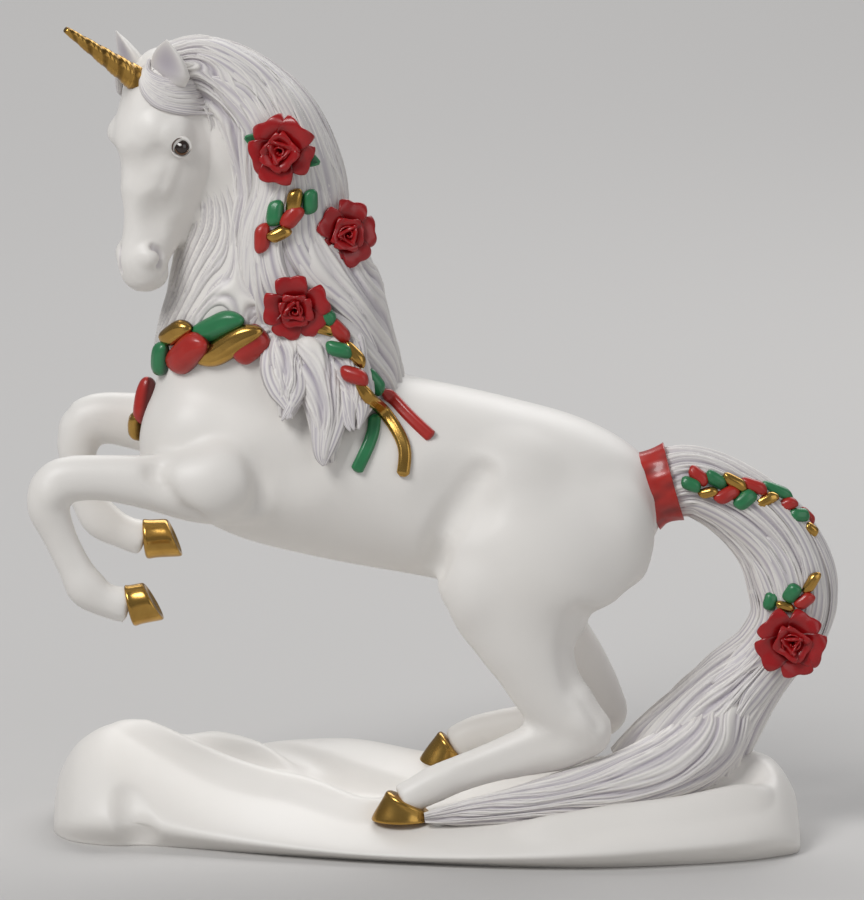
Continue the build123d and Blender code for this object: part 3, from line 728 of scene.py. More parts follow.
@dataclass
class Face:
    """Eyes and ears."""

    eye: Point = (21.2, 12.5, 0.1)
    eye_half: Point = (2.15, 2.15, 1.7)
    glint_half: Point = (0.42, 0.38, 0.25)
    ear: Point = (4.6, 6.8, 0.6)
    ear_tall: float = 14.0
    ear_wide: float = 6.2
    # Painted or raised lines round an eye: first and last angle over pi, radius over the eye's,
    # half thickness, and how far they stand out
    lines: list[tuple[EyePart, float, float, float, float, float]] = table([
        (EyePart.LID, -0.05, 1.05, 1.16, 0.6, 0.7), (EyePart.LID, 1.0, 2.0, 1.2, 0.4, 0.1),
        (EyePart.LASH, -0.16, 0.5, 1.22, 0.22, 1.15), (EyePart.RIM, 1.08, 1.92, 0.84, 0.26, 1.15)])

    def build_eyes(self) -> None:
        """Builds both eyes with iris rim, lids, lash line and glint."""
        down, cheek, face = HEAD.axes()
        clays = {part: Clay() for part in EyePart}
        wide, tall, proud = self.eye_half
        below, aside, out = self.eye
        for side in (1, -1):
            middle = HEAD.at(below, aside * side, out)
            look = unit(cheek * side * 0.86 + face * 0.5)
            level = unit(np.cross(down, look)) * side
            upright = unit(-down + look * (down @ look))
            axes = np.array([level, upright, look])
            clays[EyePart.PUPIL].ball(middle, axes, self.eye_half)
            for part, first, last, grow, thick, lift in self.lines:
                turn = np.linspace(first, last, 25) * math.pi
                arc = (middle + np.outer(np.cos(turn) * wide * grow, level)
                       + np.outer(np.sin(turn) * tall * grow, upright) + look * lift)
                swell = np.sin(np.linspace(0.15, math.pi - 0.15, len(turn))) ** 0.5
                clays[part].tube(rope(arc, thick * swell))
            # Painted highlight: a white dot high on the front of each eye
            spot = middle + look * proud * 0.86 + upright * 0.75 + level * 0.6
            clays[EyePart.GLINT].ball(spot, axes, self.glint_half)
        for part, finish, slot, nodes in (
                (EyePart.PUPIL, EYE_GLAZE, "eye", ("left_eye", "right_eye")),
                (EyePart.RIM, IRIS_PAINT, "eye", ()), (EyePart.LID, BISQUE, "white", ()),
                (EyePart.LASH, LASH_PAINT, "eye", ()), (EyePart.GLINT, GLINT_PAINT, "eye", ())):
            clays[part].piece(part.value, finish, slot, *nodes)

    def build_ears(self) -> None:
        """Builds both ears as cupped leaves."""
        down, cheek, face = HEAD.axes()
        clay = Clay()
        for sign in (1, -1):
            below, aside, out = self.ear
            root = HEAD.at(below, aside * sign, out)
            up = unit(-down + cheek * sign * 0.35 + face * 0.5)
            front = unit(face + cheek * sign * 0.35)
            wide = unit(np.cross(up, front))
            share = np.linspace(0, 1, 22)
            turn = circle(32)
            rings, depth = [], []
            for s in share:
                half = self.ear_wide * max(min(0.7 + 1.2 * s, 1.0) * (1 - s ** 2.7), 0.03)
                scoop = 1.9 * np.clip(np.sin(turn), 0, 1) ** 2 * math.sin(math.pi * min(s * 0.95 + 0.05, 1))
                rings.append(root + up * self.ear_tall * s + np.outer(np.cos(turn) * half, wide)
                             + np.outer(np.sin(turn) * half * 0.55 - scoop, front))
                # Painted shade: the inside of the ear's cup is darkened
                depth.append(np.clip(scoop / 2.4, 0, 1))
            clay.tube(np.array(rings), np.array(depth))
        clay.piece("ears", BISQUE, "white", "left_ear", "right_ear")


def rope(line: Array, radius: Array, sides: int = 12) -> Array:
    """Round rings along a line.

    Args:
        line: Points of the line.
        radius: Radius at each point.
        sides: Points round each ring.

    Returns:
        Rings for a tube.
    """
    run = unit(np.gradient(line, axis=0))
    lean = unit(np.cross(run, np.array([0.31, 0.52, 0.79])))
    other = np.cross(run, lean)
    turn = circle(sides)
    return (line[:, None] + radius[:, None, None]
            * (np.cos(turn)[None, :, None] * lean[:, None] + np.sin(turn)[None, :, None] * other[:, None]))


@dataclass(frozen=True)
class Strand:
    """Section of a carved lock of hair: fine ridges run along it."""

    sides: int = 26
    ridges: int = 9
    ridge_depth: float = 0.13

    def rings(self, line: Array, out: Array, width: Array, thick: Array, phase: float) -> tuple[Array, Array]:
        """Rings of one lock.

        Args:
            line: Points along its middle.
            out: Direction off the carrier at each point.
            width: Half width at each point.
            thick: Half thickness at each point.
            phase: Where the ridges start, in radians.

        Returns:
            Rings for a tube, and how deep in a groove each point is.
        """
        run = unit(np.gradient(line, axis=0))
        side = unit(np.cross(run, out))
        lift = np.cross(side, run)
        turn = circle(self.sides)
        drift = np.linspace(0, 1.6, len(line))[:, None]
        wave = np.cos(self.ridges * turn[None] + phase + drift)
        size = 1 + self.ridge_depth * wave
        points = (line[:, None] + side[:, None] * (np.cos(turn) * size * width[:, None])[..., None]
                  + lift[:, None] * (np.sin(turn) * size * thick[:, None])[..., None])
        # Painted shade: the furrows between the ridges get the hollow colour
        return points, np.clip(0.35 - 0.5 * wave, 0, 1)


STRAND = Strand()


@dataclass
class Hair:
    """Locks that flow along a carrier, from its start to its end."""

    carrier: Loft
    rng: np.random.Generator
    samples: int = 46

    def lay(self, clay: Clay, start: float, end: float, first: float, last: float, angle: float,
            wave: float, width: float, thick: float, grow: float) -> None:
        """Lays one lock on the carrier.

        Args:
            clay: Mesh to add it to.
            start: Share of the carrier's length where the lock begins.
            end: Share where it ends.
            first: Angle on the carrier where it begins, in radians.
            last: Angle where it ends.
            angle: Swing of its waves, in radians.
            wave: Number of waves along it.
            width: Half width at its fullest.
            thick: Half thickness at its fullest.
            grow: How far its middle is off the carrier.
        """
        share = np.linspace(0, 1, self.samples)
        last_ring = self.carrier.rings - 1
        at = (start + (end - start) * share) * last_ring
        swing = angle * np.sin(TURN * wave * at / last_ring + 2 * math.sin(first + 0.5))
        turn = first + (last - first) * share - swing
        skin = self.carrier.skin(np.repeat(turn[None], self.carrier.rings, 0), grow)
        rows = np.clip(at, 0, last_ring - 0.001)
        i, u = rows.astype(int), (rows % 1)[:, None]
        place = np.arange(self.samples)
        line = skin[i, place] * (1 - u) + skin[i + 1, place] * u
        middle = self.carrier.centres[i] * (1 - u) + self.carrier.centres[i + 1] * u
        size = taper(share, (5, 0.04), (5, 0.06), 0.8)
        rings, groove = STRAND.rings(line, unit(line - middle), width * size, thick * size,
                                     self.rng.uniform(0, PHASE))
        clay.tube(rings, groove)


@dataclass(frozen=True)
class Carving:
    """Strokes of the modelling tool over a mass of hair: locks, strands in them and fine hairs."""

    locks: int
    relief: float
    swing: float
    waves: float

    def rings(self, carrier: Loft, grow: float = 0.0) -> tuple[Array, Array]:
        """Skin of the carved mass.

        Args:
            carrier: The smooth mass.
            grow: How far the mean skin lies outside it.

        Returns:
            Rings for a tube, and how deep in a groove each point is.
        """
        turn = circle(carrier.sides)[None]
        share = np.linspace(0, 1, carrier.rings)[:, None]
        wave = TURN * self.waves * share
        swing = self.swing * (np.sin(wave + 2 * np.sin(turn + 0.5))
                              + 0.4 * np.sin(2.3 * wave + 3 * np.sin(2 * turn) + 1.7))
        flow = (turn + swing) / TURN
        main = np.abs(np.sin(math.pi * self.locks * flow)) ** 0.8
        stray = 0.35 * np.sin(1.7 * wave + 2 * turn)
        strand = np.abs(np.sin(math.pi * (3 * self.locks * flow + stray))) ** 0.8
        fine = np.abs(np.sin(math.pi * (5 * self.locks * flow + 0.6 * np.sin(3 * wave + 5 * turn))))
        height = self.relief * ((main - 0.75) + 0.5 * (strand - 0.6) + 0.3 * (fine - 0.6))
        # Painted shade: the carved grooves are darkened, most between the locks
        groove = np.clip(1.2 - 0.6 * main - 0.4 * strand - 0.3 * fine, 0, 1)
        return carrier.skin(np.repeat(turn, carrier.rings, 0), grow + height), groove


@dataclass
class Mane:
    """Mane over neck and nape, the locks on the near shoulder and the forelock."""

    stations: Rows = table([
        (-16, 0, 119, 15, 10), (-21, 0, 127, 20, 13.5), (-30, 0, 140, 20.5, 19.5),
        (-36.5, 0, 152, 19.5, 20.5), (-40, 0, 165, 18, 18.5), (-40, 0, 179, 17, 16.5),
        (-44, -0.5, 192, 15.5, 15), (-51.5, -1, 202.5, 13, 12.2), (-61, -3, 210.5, 9.8, 8.2),
        (-68, -4.5, 212, 8, 5.5), (-74, -6.5, 209.5, 6.5, 4.5), (-79, -9, 206.5, 4, 3)])
    neck: Rows = table([
        (-43, 0, 130, 14, 24), (-44, 0, 137, 17.2, 30), (-45.5, 0, 152, 15.5, 25), (-47, 0, 171, 12.3, 20),
        (-52.5, -0.5, 189, 9.8, 16.5), (-61, -2, 202, 8.5, 12)])
    drape: list[Rows] = table([
        [(-38.5, -15, 142, 3.5, 5), (-38.5, -18.5, 134.5, 4, 5), (-38, -22, 126, 3.8, 4.6),
         (-39, -24.5, 119, 1.5, 1.6)],
        [(-35, -15, 142, 4, 6), (-31.5, -18.5, 133, 5, 6.5), (-28.5, -22.5, 122, 4.5, 5.5),
         (-28, -24.8, 112, 3, 3.2), (-27.5, -25, 107, 1.4, 1.4)],
        [(-28, -15, 141, 4, 6), (-23.5, -18.5, 133, 4.5, 6), (-20, -22, 124, 3.8, 4.4),
         (-21, -24, 116, 1.5, 1.6)]])
    drape_wisps: Row = (-4.5, -1.5, 1.5, 4.5)
    forelock: Rows = table([
        (-1, 2.2, 6.5), (3.5, 4, 8.2), (6.5, 7.4, 6.4), (7.8, 10, 2), (7.8, 11, -3.5), (7, 10.6, -9)])
    forelock_fan: Row = (3.0, 5.0, 7.0, 8.0, 9.0, 10.5)
    forelock_locks: int = 23
    far_wisps: int = 7
    loose: int = 14
    carving: Carving = Carving(17, 1.25, 0.36, 1.25)
    neck_carving: Carving = Carving(18, 1.5, 0.7, 0.7)
    drape_carving: Carving = Carving(7, 0.8, 0.3, 0.9)

    def build(self, rng: np.random.Generator) -> None:
        """Builds the mane, the hair on the neck, the shoulder locks and the forelock.

        Args:
            rng: Source of the small differences between locks.
        """
        clay = Clay()
        clay.tube(*self.carving.rings(Loft(self.stations, rings=240, sides=390)))
        clay.piece("mane_hair", BISQUE, "white", "mane_left", "mane_right")
        clay = Clay()
        clay.tube(*self.neck_carving.rings(Loft(self.neck, rings=170, sides=400), 0.2))
        clay.piece("neck_hair", BISQUE, "white")
        self.build_loose(rng)
        self.build_drape(rng)
        self.build_forelock(rng)

    def build_loose(self, rng: np.random.Generator) -> None:
        """Builds the raised locks that wave over the mane on both sides.

        Args:
            rng: Source of the small differences between locks.
        """
        clay = Clay()
        hair = Hair(Loft(self.stations, rings=90), rng)
        for sign in (1, -1):
            for i in range(self.loose):
                place = -math.pi / 2 - sign * (0.1 + 2.0 * (i + rng.uniform(0.2, 0.8)) / self.loose)
                start = rng.uniform(0.58, 0.8)
                hair.lay(clay, start, start - rng.uniform(0.33, 0.5), place, place + rng.uniform(-0.1, 0.1),
                         self.carving.swing, self.carving.waves, rng.uniform(2.8, 4.2), 0.8, -0.45)
        clay.piece("mane_loose_locks", BISQUE, "white")

    def build_drape(self, rng: np.random.Generator) -> None:
        """Builds the three locks on the near shoulder and the wisps over them.

        Args:
            rng: Source of the small differences between locks.
        """
        clay = Clay()
        for stations in self.drape:
            clay.tube(*self.drape_carving.rings(Loft(stations, rings=80, sides=150)))
            guide = np.array(stations)[:, :3] - np.array([0, 3.0, 0])
            for shift in self.drape_wisps:
                line = smooth_rows(guide, 44)
                share = np.linspace(0, 1, len(line))
                bow = shift * (1 - share ** 2) + 1.4 * np.sin(TURN * share + rng.uniform(0, PHASE))
                inset = np.abs(shift) * 0.35 * (1 - share)
                line = line + np.outer(bow, [1.0, 0.06, 0.25]) + np.outer(inset, SIDE)
                size = taper(share, (5, 0.3), (2.6, 0.06), 0.8)
                rings, groove = STRAND.rings(line, np.repeat([[0.0, -1.0, 0.1]], len(line), 0), 2.2 * size,
                                             0.9 * size, rng.uniform(0, PHASE))
                clay.tube(rings, groove)
        clay.piece("mane_shoulder_locks", BISQUE, "white", "mane_drape")

    def build_forelock(self, rng: np.random.Generator) -> None:
        """Builds the lock that sweeps from the horn over the near brow, and the wisps beyond the horn.

        Args:
            rng: Source of the small differences between locks.
        """
        clay = Clay()
        skin = Ground([bpy.data.objects["body_casting"]])
        guides = []
        for spread in np.linspace(-0.5, 0.5, self.forelock_locks):
            rows = np.array(self.forelock)
            rows[:, 0] += spread * np.array(self.forelock_fan) + rng.uniform(-0.5, 0.5)
            rows[3:, 0] += rng.uniform(-0.8, 0.8)
            rows[-1, 2] += rng.uniform(-1.5, 3.0)
            guides.append(rows)
        lifts = [0.0] * len(guides)
        for i in range(self.far_wisps):
            guides.append(np.array([(1, -2 - 0.4 * i, 6.5), (3.6 + 0.4 * i, -4.6 - 0.4 * i, 8),
                                    (6.6 + 0.5 * i, -6.6 - 0.3 * i, 7)]))
            lifts.append(2.6 - 0.25 * i)
        for rows, lift in zip(guides, lifts):
            line = HEAD.line([tuple(row) for row in rows], 40)
            out = unit(line - HEAD.at(11, 0, -6))
            line = np.array([skin.hit(p + 12 * o, -o)[0] for p, o in zip(line, out)])
            line[1:-1] = (line[:-2] + 2 * line[1:-1] + line[2:]) / 4
            share = np.linspace(0, 1, len(line))
            size = taper(share, (6, 0.3), (4, 0.08), 0.7)
            raised = line + out * (0.35 + lift * np.sin(math.pi * share))[:, None]
            rings, groove = STRAND.rings(raised, out, 0.9 * size, 0.75 * size, rng.uniform(0, PHASE))
            clay.tube(rings, groove)
        clay.piece("forelock_locks", BISQUE, "white", "forelock")


@dataclass
class Tail:
    """Tail: red wrap at the dock, plume, and the sweep that fans into the base."""

    run: Rows = table([
        (60.5, 0, 95.4, 7.6, 8.4), (65.3, 0, 96.9, 9, 9.7), (73, 0, 96.3, 9.4, 9.8),
        (83.5, 0, 90.3, 10, 10.6), (92.5, 0, 81.2, 10.6, 11.6),
        (97.3, 0, 70, 11, 12.4), (97.2, 0, 59.5, 11.4, 11.4), (91.5, 0, 50, 11.6, 10), (83, 0, 40, 12.6, 12),
        (75.5, -1, 30.5, 15, 14), (69, -2, 21.5, 18, 16.5), (63, -3, 13, 20, 18)])
    wrap: Rows = table([
        (57.5, 0, 94.3, 9.4, 10.6), (59.5, 0, 95.1, 8.8, 9.9), (61.5, 0, 95.8, 8.6, 9.7),
        (63.5, 0, 96.4, 8.9, 9.9), (65.3, 0, 96.9, 9.4, 10.2)])
    end: Rows = table([
        (83, -3, 38, 7, 7), (76, -8, 28, 10.5, 9), (65, -15.5, 21.5, 11.5, 10), (51, -22, 17.5, 9.5, 9),
        (36, -26, 15, 7.5, 7.2),
        (22, -27.5, 13, 6, 5.2), (8, -28.5, 11.5, 4, 3), (-2, -29, 10.4, 1.6, 1)])
    loose: int = 16
    lowest: float = 1.5
    carving: Carving = Carving(15, 1.1, 0.16, 1.1)
    end_carving: Carving = Carving(13, 0.75, 0.22, 1.1)

    def build(self, rng: np.random.Generator) -> None:
        """Builds wrap, plume and sweep.

        Args:
            rng: Source of the small differences between locks.
        """
        clay = Clay()
        rings, groove = self.carving.rings(Loft(self.run, rings=250, sides=380), -0.6)
        rings[..., 2] = np.maximum(rings[..., 2], self.lowest)
        clay.tube(rings, groove)
        clay.piece("tail_hair", BISQUE, "white", "tail_plume", "tail_sweep")
        clay = Clay()
        hair = Hair(Loft(self.run, rings=110), rng)
        for i in range(self.loose):
            first = TURN * (i + rng.uniform(0.2, 0.8)) / self.loose
            start = rng.uniform(0.1, 0.42)
            end = min(start + rng.uniform(0.35, 0.5), 0.93)
            hair.lay(clay, start, end, first, first + rng.uniform(-0.25, 0.25), self.carving.swing,
                     self.carving.waves, 3.0, 0.75, -0.95)
        clay.piece("tail_loose_locks", BISQUE, "white")
        self.build_end()
        self.build_wrap()

    def build_end(self) -> None:
        """Builds the last locks, which lie along the base under the near hind leg."""
        clay = Clay()
        rings, groove = self.end_carving.rings(Loft(self.end, rings=200, sides=280))
        rings[..., 2] = np.maximum(rings[..., 2], self.lowest)
        clay.tube(rings, groove)
        clay.piece("tail_tip_hair", BISQUE, "white", "tail_end")

    def build_wrap(self) -> None:
        """Builds the gathered red band."""
        count, rows = 160, 30
        band = Loft(self.wrap, rings=rows, sides=count)
        turn = circle(count)[None]
        share = np.linspace(0, 1, rows)[:, None]
        fold = (0.16 * np.sin(7 * turn + 1.6 * np.sin(2 * turn) + 2.5 * share)
                + 0.07 * np.sin(15 * turn - 3 * share))
        flare = 0.2 * (np.abs(share - 0.5) * 2) ** 3
        rings = band.tube(0.5)
        out = unit(rings - band.centres[:, None])
        clay = Clay()
        # Painted shade: the recesses of the folds are darkened
        clay.tube(rings + out * (fold + flare)[..., None], np.clip(-fold * 2.4, 0, 1))
        clay.piece("tail_wrap_band", RIBBON_RED, "wrap", "tail_wrap")


@dataclass
class Gilt:
    """Horn and hooves."""

    horn_place: Point = (5.0, 0.0, 6.0)
    horn_lean: Point = (-0.67, -0.485, 0.56)
    horn_long: float = 28.3
    horn_radii: tuple[float, float] = (3.5, 0.9)
    horn_turns: float = 5.0
    # Each hoof: centre and half sizes of its coronet, direction there, the same for its sole
    hooves: dict[str, tuple[Row, Point, Row, Point]] = table({
        "left_fore_hoof": ((-81.2, -21, 67, 4.7, 5.4), (0.97, 0, 0.24),
                           (-74.6, -21, 68.3, 5.3, 5.7), (0.86, 0, 0.5)),
        "right_fore_hoof": ((-78.2, 19.5, 77, 4.8, 5.2), (0.99, 0, 0.11),
                            (-70, 19.5, 77.4, 5.4, 5.5), (0.92, 0, 0.39)),
        "left_hind_hoof": ((-6.4, -24.3, 13.8, 4.9, 6.2), (-0.45, 0, -0.89),
                           (-8.6, -24.5, 8.7, 6.0, 8.0), (0, 0, -1)),
        "right_hind_hoof": ((5.5, 22, 18.6, 4.8, 5), (-0.75, 0, -0.66), (2.4, 22, 13, 6.0, 6.8), (0, 0, -1))})
    # Profile of a hoof: share of the way to the sole, and how far outside the straight wall
    profile: Rows = table([
        (-0.06, -0.25), (0.0, 0.25), (0.08, 0.35), (0.16, 0.1), (0.4, 0.0), (0.7, 0.05), (0.93, 0.1),
        (1.0, -0.25), (1.0, -1.3), (0.93, -2.0), (0.9, -3.6)])

    def build(self) -> None:
        """Builds the twisted horn and the four hooves."""
        clay = Clay()
        lean = unit(np.array(self.horn_lean))
        across = unit(np.cross(lean, SIDE))
        other = np.cross(lean, across)
        turn = circle(48)
        rings, depth = [], []
        for s in np.linspace(0, 1, 150):
            radius = self.horn_radii[0] * (1 - s) + self.horn_radii[1] * s
            twist = TURN * self.horn_turns * s
            lobe = np.abs(np.sin(0.5 * (2 * turn - twist))) ** 0.6
            fine = np.cos(8 * turn - 4 * twist)
            size = radius * (0.9 + 0.13 * lobe + 0.02 * fine)
            rings.append(HEAD.at(*self.horn_place) + lean * self.horn_long * s
                         + np.outer(np.cos(turn) * size, across) + np.outer(np.sin(turn) * size, other))
            # Painted shade: the grooves between the twisted strands are darkened
            depth.append(np.clip(0.9 - 1.1 * lobe - 0.15 * fine, 0, 1))
        clay.tube(np.array(rings), np.array(depth))
        clay.piece("gilt_horn", GILDING, "gilt", "horn")
        for node, (coronet, top_run, sole, sole_run) in self.hooves.items():
            self.build_hoof(node, coronet, top_run, sole, sole_run)

    def build_hoof(self, node: str, coronet: Row, top_run: Point, sole: Row, sole_run: Point) -> None:
        """Builds one hoof with a rolled coronet and a hollow sole.

        Args:
            node: CAD node that it stands for.
            coronet: Centre and half sizes at the top.
            top_run: Direction through the top.
            sole: Centre and half sizes at the sole.
            sole_run: Direction out of the sole.
        """
        clay = Clay()
        turn = circle(40)
        a, b = np.array(coronet), np.array(sole)
        runs = unit(np.array(top_run)), unit(np.array(sole_run))
        rings = []
        for s, grow in self.profile:
            row = a * (1 - s) + b * s
            run = unit(runs[0] * (1 - s) + runs[1] * s)
            across = unit(SIDE - run * run[1])
            deep = np.cross(run, across)
            rings.append(row[:3] + np.outer(np.cos(turn) * (row[3] + grow), across)
                         + np.outer(np.sin(turn) * (row[4] + grow), deep))
        clay.tube(np.array(rings))
        round_off(clay.piece(f"gilt_{node}", GILDING, "gilt", node))


@dataclass
class Drift:
    """Snowdrift base with soft wind ridges."""

    # x, near edge, far edge, and the heights of near shoulder, crest and far shoulder
    stations: Rows = table([
        (-103, 0, 18, 5, 7, 5), (-101, -7, 26, 12, 15, 12), (-96, -14, 34, 18, 22.5, 17),
        (-87, -18, 40, 20.5, 27, 20), (-76, -18, 43, 18, 25, 19.5), (-62, -22, 45, 14, 21.5, 18),
        (-44, -28, 46, 11, 18, 17.5), (-22, -34, 45, 8.5, 13.5, 18.5), (0, -38.5, 43, 8.5, 11.5, 15),
        (22, -42, 40, 11, 14, 14), (44, -43, 36, 14, 18, 15.5), (66, -40, 32, 16.5, 21, 17),
        (82, -36, 28, 17.5, 22.5, 18), (92, -31, 21, 16, 21, 16), (98, -26, 11, 9, 13, 9),
        (99.5, -20, 3, 3.5, 5, 3.5)])
    bulge: float = 0.055
    shoulder: float = 0.17
    swell: float = 0.42
    ridges: list[Rows] = table([
        [(-77.8, 13, 25.5), (-64.3, 6, 20.5), (-49.8, -1, 16.2), (-33.2, -5.7, 12.8), (-17.6, -15, 9.6)],
        [(-57, 28, 19.5), (-43.5, 13, 18), (-26.9, -1, 12.7), (-12, -8, 11)],
        [(30, -36, 12), (48, -34, 16), (66, -32, 18), (84, -26, 20)]])
    ridge_reach: float = 10.0
    ridge_high: float = 3.0
    trough_behind: float = 9.0
    trough_deep: float = 4.3
    fold: Rows = table([(-82, -20, 16), (-81, -23, 10), (-79, -23, 3)])
    fold_reach: float = 7.0
    fold_deep: float = 3.2

    def build(self) -> None:
        """Builds the base and models its ridges."""
        rings = []
        for x, near, far, low, crest, back in smooth_rows(self.stations, 230):
            width = far - near
            bulge, shoulder = self.bulge * width, self.shoulder * width
            top = [(near, 0), (near - bulge, self.swell * low), (near + shoulder, low),
                   ((near + far) / 2, crest), (far - shoulder, back),
                   (far + bulge, self.swell * back), (far, 0)]
            over = smooth_rows(top, 110)
            under = np.linspace(over[-1], over[0], 22)[1:-1]
            yz = np.concatenate([over, under])
            rings.append(np.column_stack([np.full(len(yz), x), yz]))
        clay = Clay()
        clay.tube(np.array(rings))
        piece = clay.piece("snowdrift_base", BISQUE, "white", "base_shell")
        tool = Sculptor(piece.data)
        free = np.where(tool.co[:, 2] < 0.05, 0.0, 1.0)
        tool.relax(4, free * 0.5)
        for ridge in self.ridges:
            line = smooth_rows(ridge, 30)
            tool.push(free * tool.crest(line, self.ridge_reach), self.ridge_high)
            trough = tool.near_line(line + SIDE * self.trough_behind, self.ridge_reach)
            tool.push(free * trough, -self.trough_deep)
        tool.push(free * tool.near_line(smooth_rows(self.fold, 20), self.fold_reach), -self.fold_deep)
        tool.relax(2, free * 0.4)
        tool.co[:, 2] = np.maximum(tool.co[:, 2], 0)
        tool.write()


@dataclass
class Ground:
    """What ornaments sit on: the skin of finished pieces, found by a line of sight."""

    pieces: list[bpy.types.Object]
    far: float = 40.0
    trees: list[BVHTree] = field(init=False)

    def __post_init__(self) -> None:
        """Indexes the skins."""
        graph = bpy.context.evaluated_depsgraph_get()
        self.trees = [BVHTree.FromObject(piece, graph) for piece in self.pieces]

    def hit(self, start: Array, way: Array) -> tuple[Array, Array]:
        """First point met along a line.

        Args:
            start: Point off the skin.
            way: Direction to look in.

        Returns:
            The point, and the direction off the skin there.
        """
        best, normal, gap = None, None, 1e9
        for tree in self.trees:
            place, out, _, far = tree.ray_cast(Vector(np.asarray(start) * MM), Vector(way))
            if place is not None and far < gap:
                best, normal, gap = np.array(place) / MM, np.array(out), far
        if best is None:
            return self.nearest(np.asarray(start) + np.asarray(way) * self.far)
        return best, normal if normal @ np.asarray(way) < 0 else -normal

    def nearest(self, point: Array) -> tuple[Array, Array]:
        """Finds the nearest point of the skins.

        Args:
            point: Point to start from.

        Returns:
            The nearest point, and the direction off the skin there.
        """
        found = [tree.find_nearest(Vector(point * MM)) for tree in self.trees]
        place, out, _, _ = min(found, key=lambda hit: hit[3])
        return np.array(place) / MM, np.array(out)

    def lie(self, line: Array, ways: Array) -> tuple[Array, Array]:
        """Lays a line of points on the skin, taut over its dips.

        Args:
            line: Points off the skin.
            ways: Direction to look in from each.

        Returns:
            Points on the skin, and the direction off it at each.
        """
        hits = [self.hit(p - self.far * w, w) for p, w in zip(line, ways)]
        skin, outs = np.array([h[0] for h in hits]), unit(-np.asarray(ways, float))
        places = skin.copy()
        for _ in range(40):
            places[1:-1] += (places[:-2] + places[2:] - 2 * places[1:-1]) * 0.25
            sunk = np.maximum(((skin - places) * outs).sum(1), 0)
            places += outs * sunk[:, None]
        return places, outs


@dataclass(frozen=True)
class Lobe:
    """One visible lobe of a plait: a pointed pellet of enamelled clay."""

    long: float
    wide: float
    high: float

    def rings(self, place: Array, run: Array, out: Array, tilt_deg: float) -> tuple[Array, Array]:
        """Rings of the lobe.

        Args:
            place: Its middle, on the skin of what carries it.
            run: Direction of the plait.
            out: Direction off the skin.
            tilt_deg: Turn of the lobe off the plait's direction.

        Returns:
            Rings for a tube, and how deep in the outline each point is.
        """
        run = unit(run - out * (run @ out))
        side = np.cross(out, run)
        tilt = math.radians(tilt_deg)
        ahead = run * math.cos(tilt) + side * math.sin(tilt)
        aside = np.cross(out, ahead)
        turn = circle(28)
        share = np.sin(np.linspace(-0.5, 0.5, 25) * math.pi)
        size = np.maximum(1 - np.abs(share) ** 2.5, 0.0) ** 0.62 + 0.02
        bow = 0.16 * self.wide * np.sin(math.pi * share)
        crease = 1 - 0.1 * np.exp(-((turn - math.pi / 2) / 0.16) ** 2)
        rings = (place + out * 0.3 * self.high + (ahead * self.long)[None, None] * share[:, None, None]
                 + aside * bow[:, None, None]
                 + aside * (np.cos(turn) * self.wide * size[:, None])[..., None]
                 + out * (np.sin(turn) * crease * self.high * size[:, None] ** 0.8)[..., None])
        # Painted shade: the underside and edge of the lobe, where it meets the skin, are darkened
        return rings, np.repeat(np.clip((0.3 - np.sin(turn)) * 2.2, 0, 1)[None], len(share), 0)


@dataclass
class Plait:
    """A plait of three enamelled ribbons, seen as lobes that lie on the near side of the figurine."""

    name: str
    lobes: list[tuple[Colour, Row, float, Lobe]]
    ends: dict[Colour, Rows] = field(default_factory=dict)
    ribbon_half_width: float = 1.75
    ribbon_half_thick: float = 1.25
    off: float = 40.0

    def sight(self, point: Row) -> tuple[Array, Array]:
        """Finds the line of sight to a lobe.

        Args:
            point: Place of the lobe, as x and z.

        Returns:
            Start of the line, and its direction.
        """
        x, z = point
        return np.array([x, -self.off, z]), SIDE

    def build(self, ground: Ground) -> None:
        """Builds the lobes on the skin of what carries them.

        Args:
            ground: What the plait lies on.
        """
        clays = {colour: Clay() for colour in Colour}
        for colour, point, tilt_deg, lobe in self.lobes:
            start, way = self.sight(point)
            place, out = ground.hit(start, way)
            out = unit(0.6 * out - way)
            run = np.array([way[1], -way[0], 0.0])
            clays[colour].tube(*lobe.rings(place, run, out, tilt_deg))
        for colour, guide in self.ends.items():
            self.loose_end(clays[colour], ground, guide)
        self.finish(clays)

    def finish(self, clays: dict[Colour, Clay]) -> None:
        """Dresses the three ribbons.

        Args:
            clays: The mesh of each ribbon.
        """
        for colour, clay in clays.items():
            node = f"{self.name}_{colour.value}"
            clay.piece(f"{node}_lobes", RIBBONS[colour], f"ribbon_{colour.value}", node)

    def loose_end(self, clay: Clay, ground: Ground, guide: Rows) -> None:
        """Adds a loose end that lies on the flank, with a crease along its middle.

        Args:
            clay: Mesh of the ribbon.
            ground: What it lies on.
            guide: Points of its route, as x and z.
        """
        count = 60
        line = smooth_rows([(x, -self.off, z) for x, z in guide], count)
        path, out = ground.lie(line, np.repeat(SIDE[None], count, 0))
        path = path + out * 0.45
        run = unit(np.gradient(path, axis=0))
        side = unit(np.cross(run, out))
        lift = np.cross(side, run)
        turn = circle(28)
        c, s = np.cos(turn), np.sin(turn)
        square = np.sign(c) * np.abs(c) ** 0.75
        flat = np.sign(s) * np.abs(s) ** 0.85 * (1 - 0.16 * np.exp(-(c / 0.2) ** 2) * (s > 0))
        share = np.linspace(0, 1, count)
        close = np.clip(np.minimum(share * 9, (1 - share) * 24 + 0.2), 0.05, 1)[:, None, None] ** 0.5
        rings = (path[:, None] + close * side[:, None] * (square * self.ribbon_half_width)[None, :, None]
                 + close * lift[:, None] * (flat * self.ribbon_half_thick)[None, :, None])
        # Painted shade: the underside of the ribbon is darkened
        clay.tube(rings, np.repeat(np.clip((0.2 - s) * 2, 0, 1)[None], count, 0))


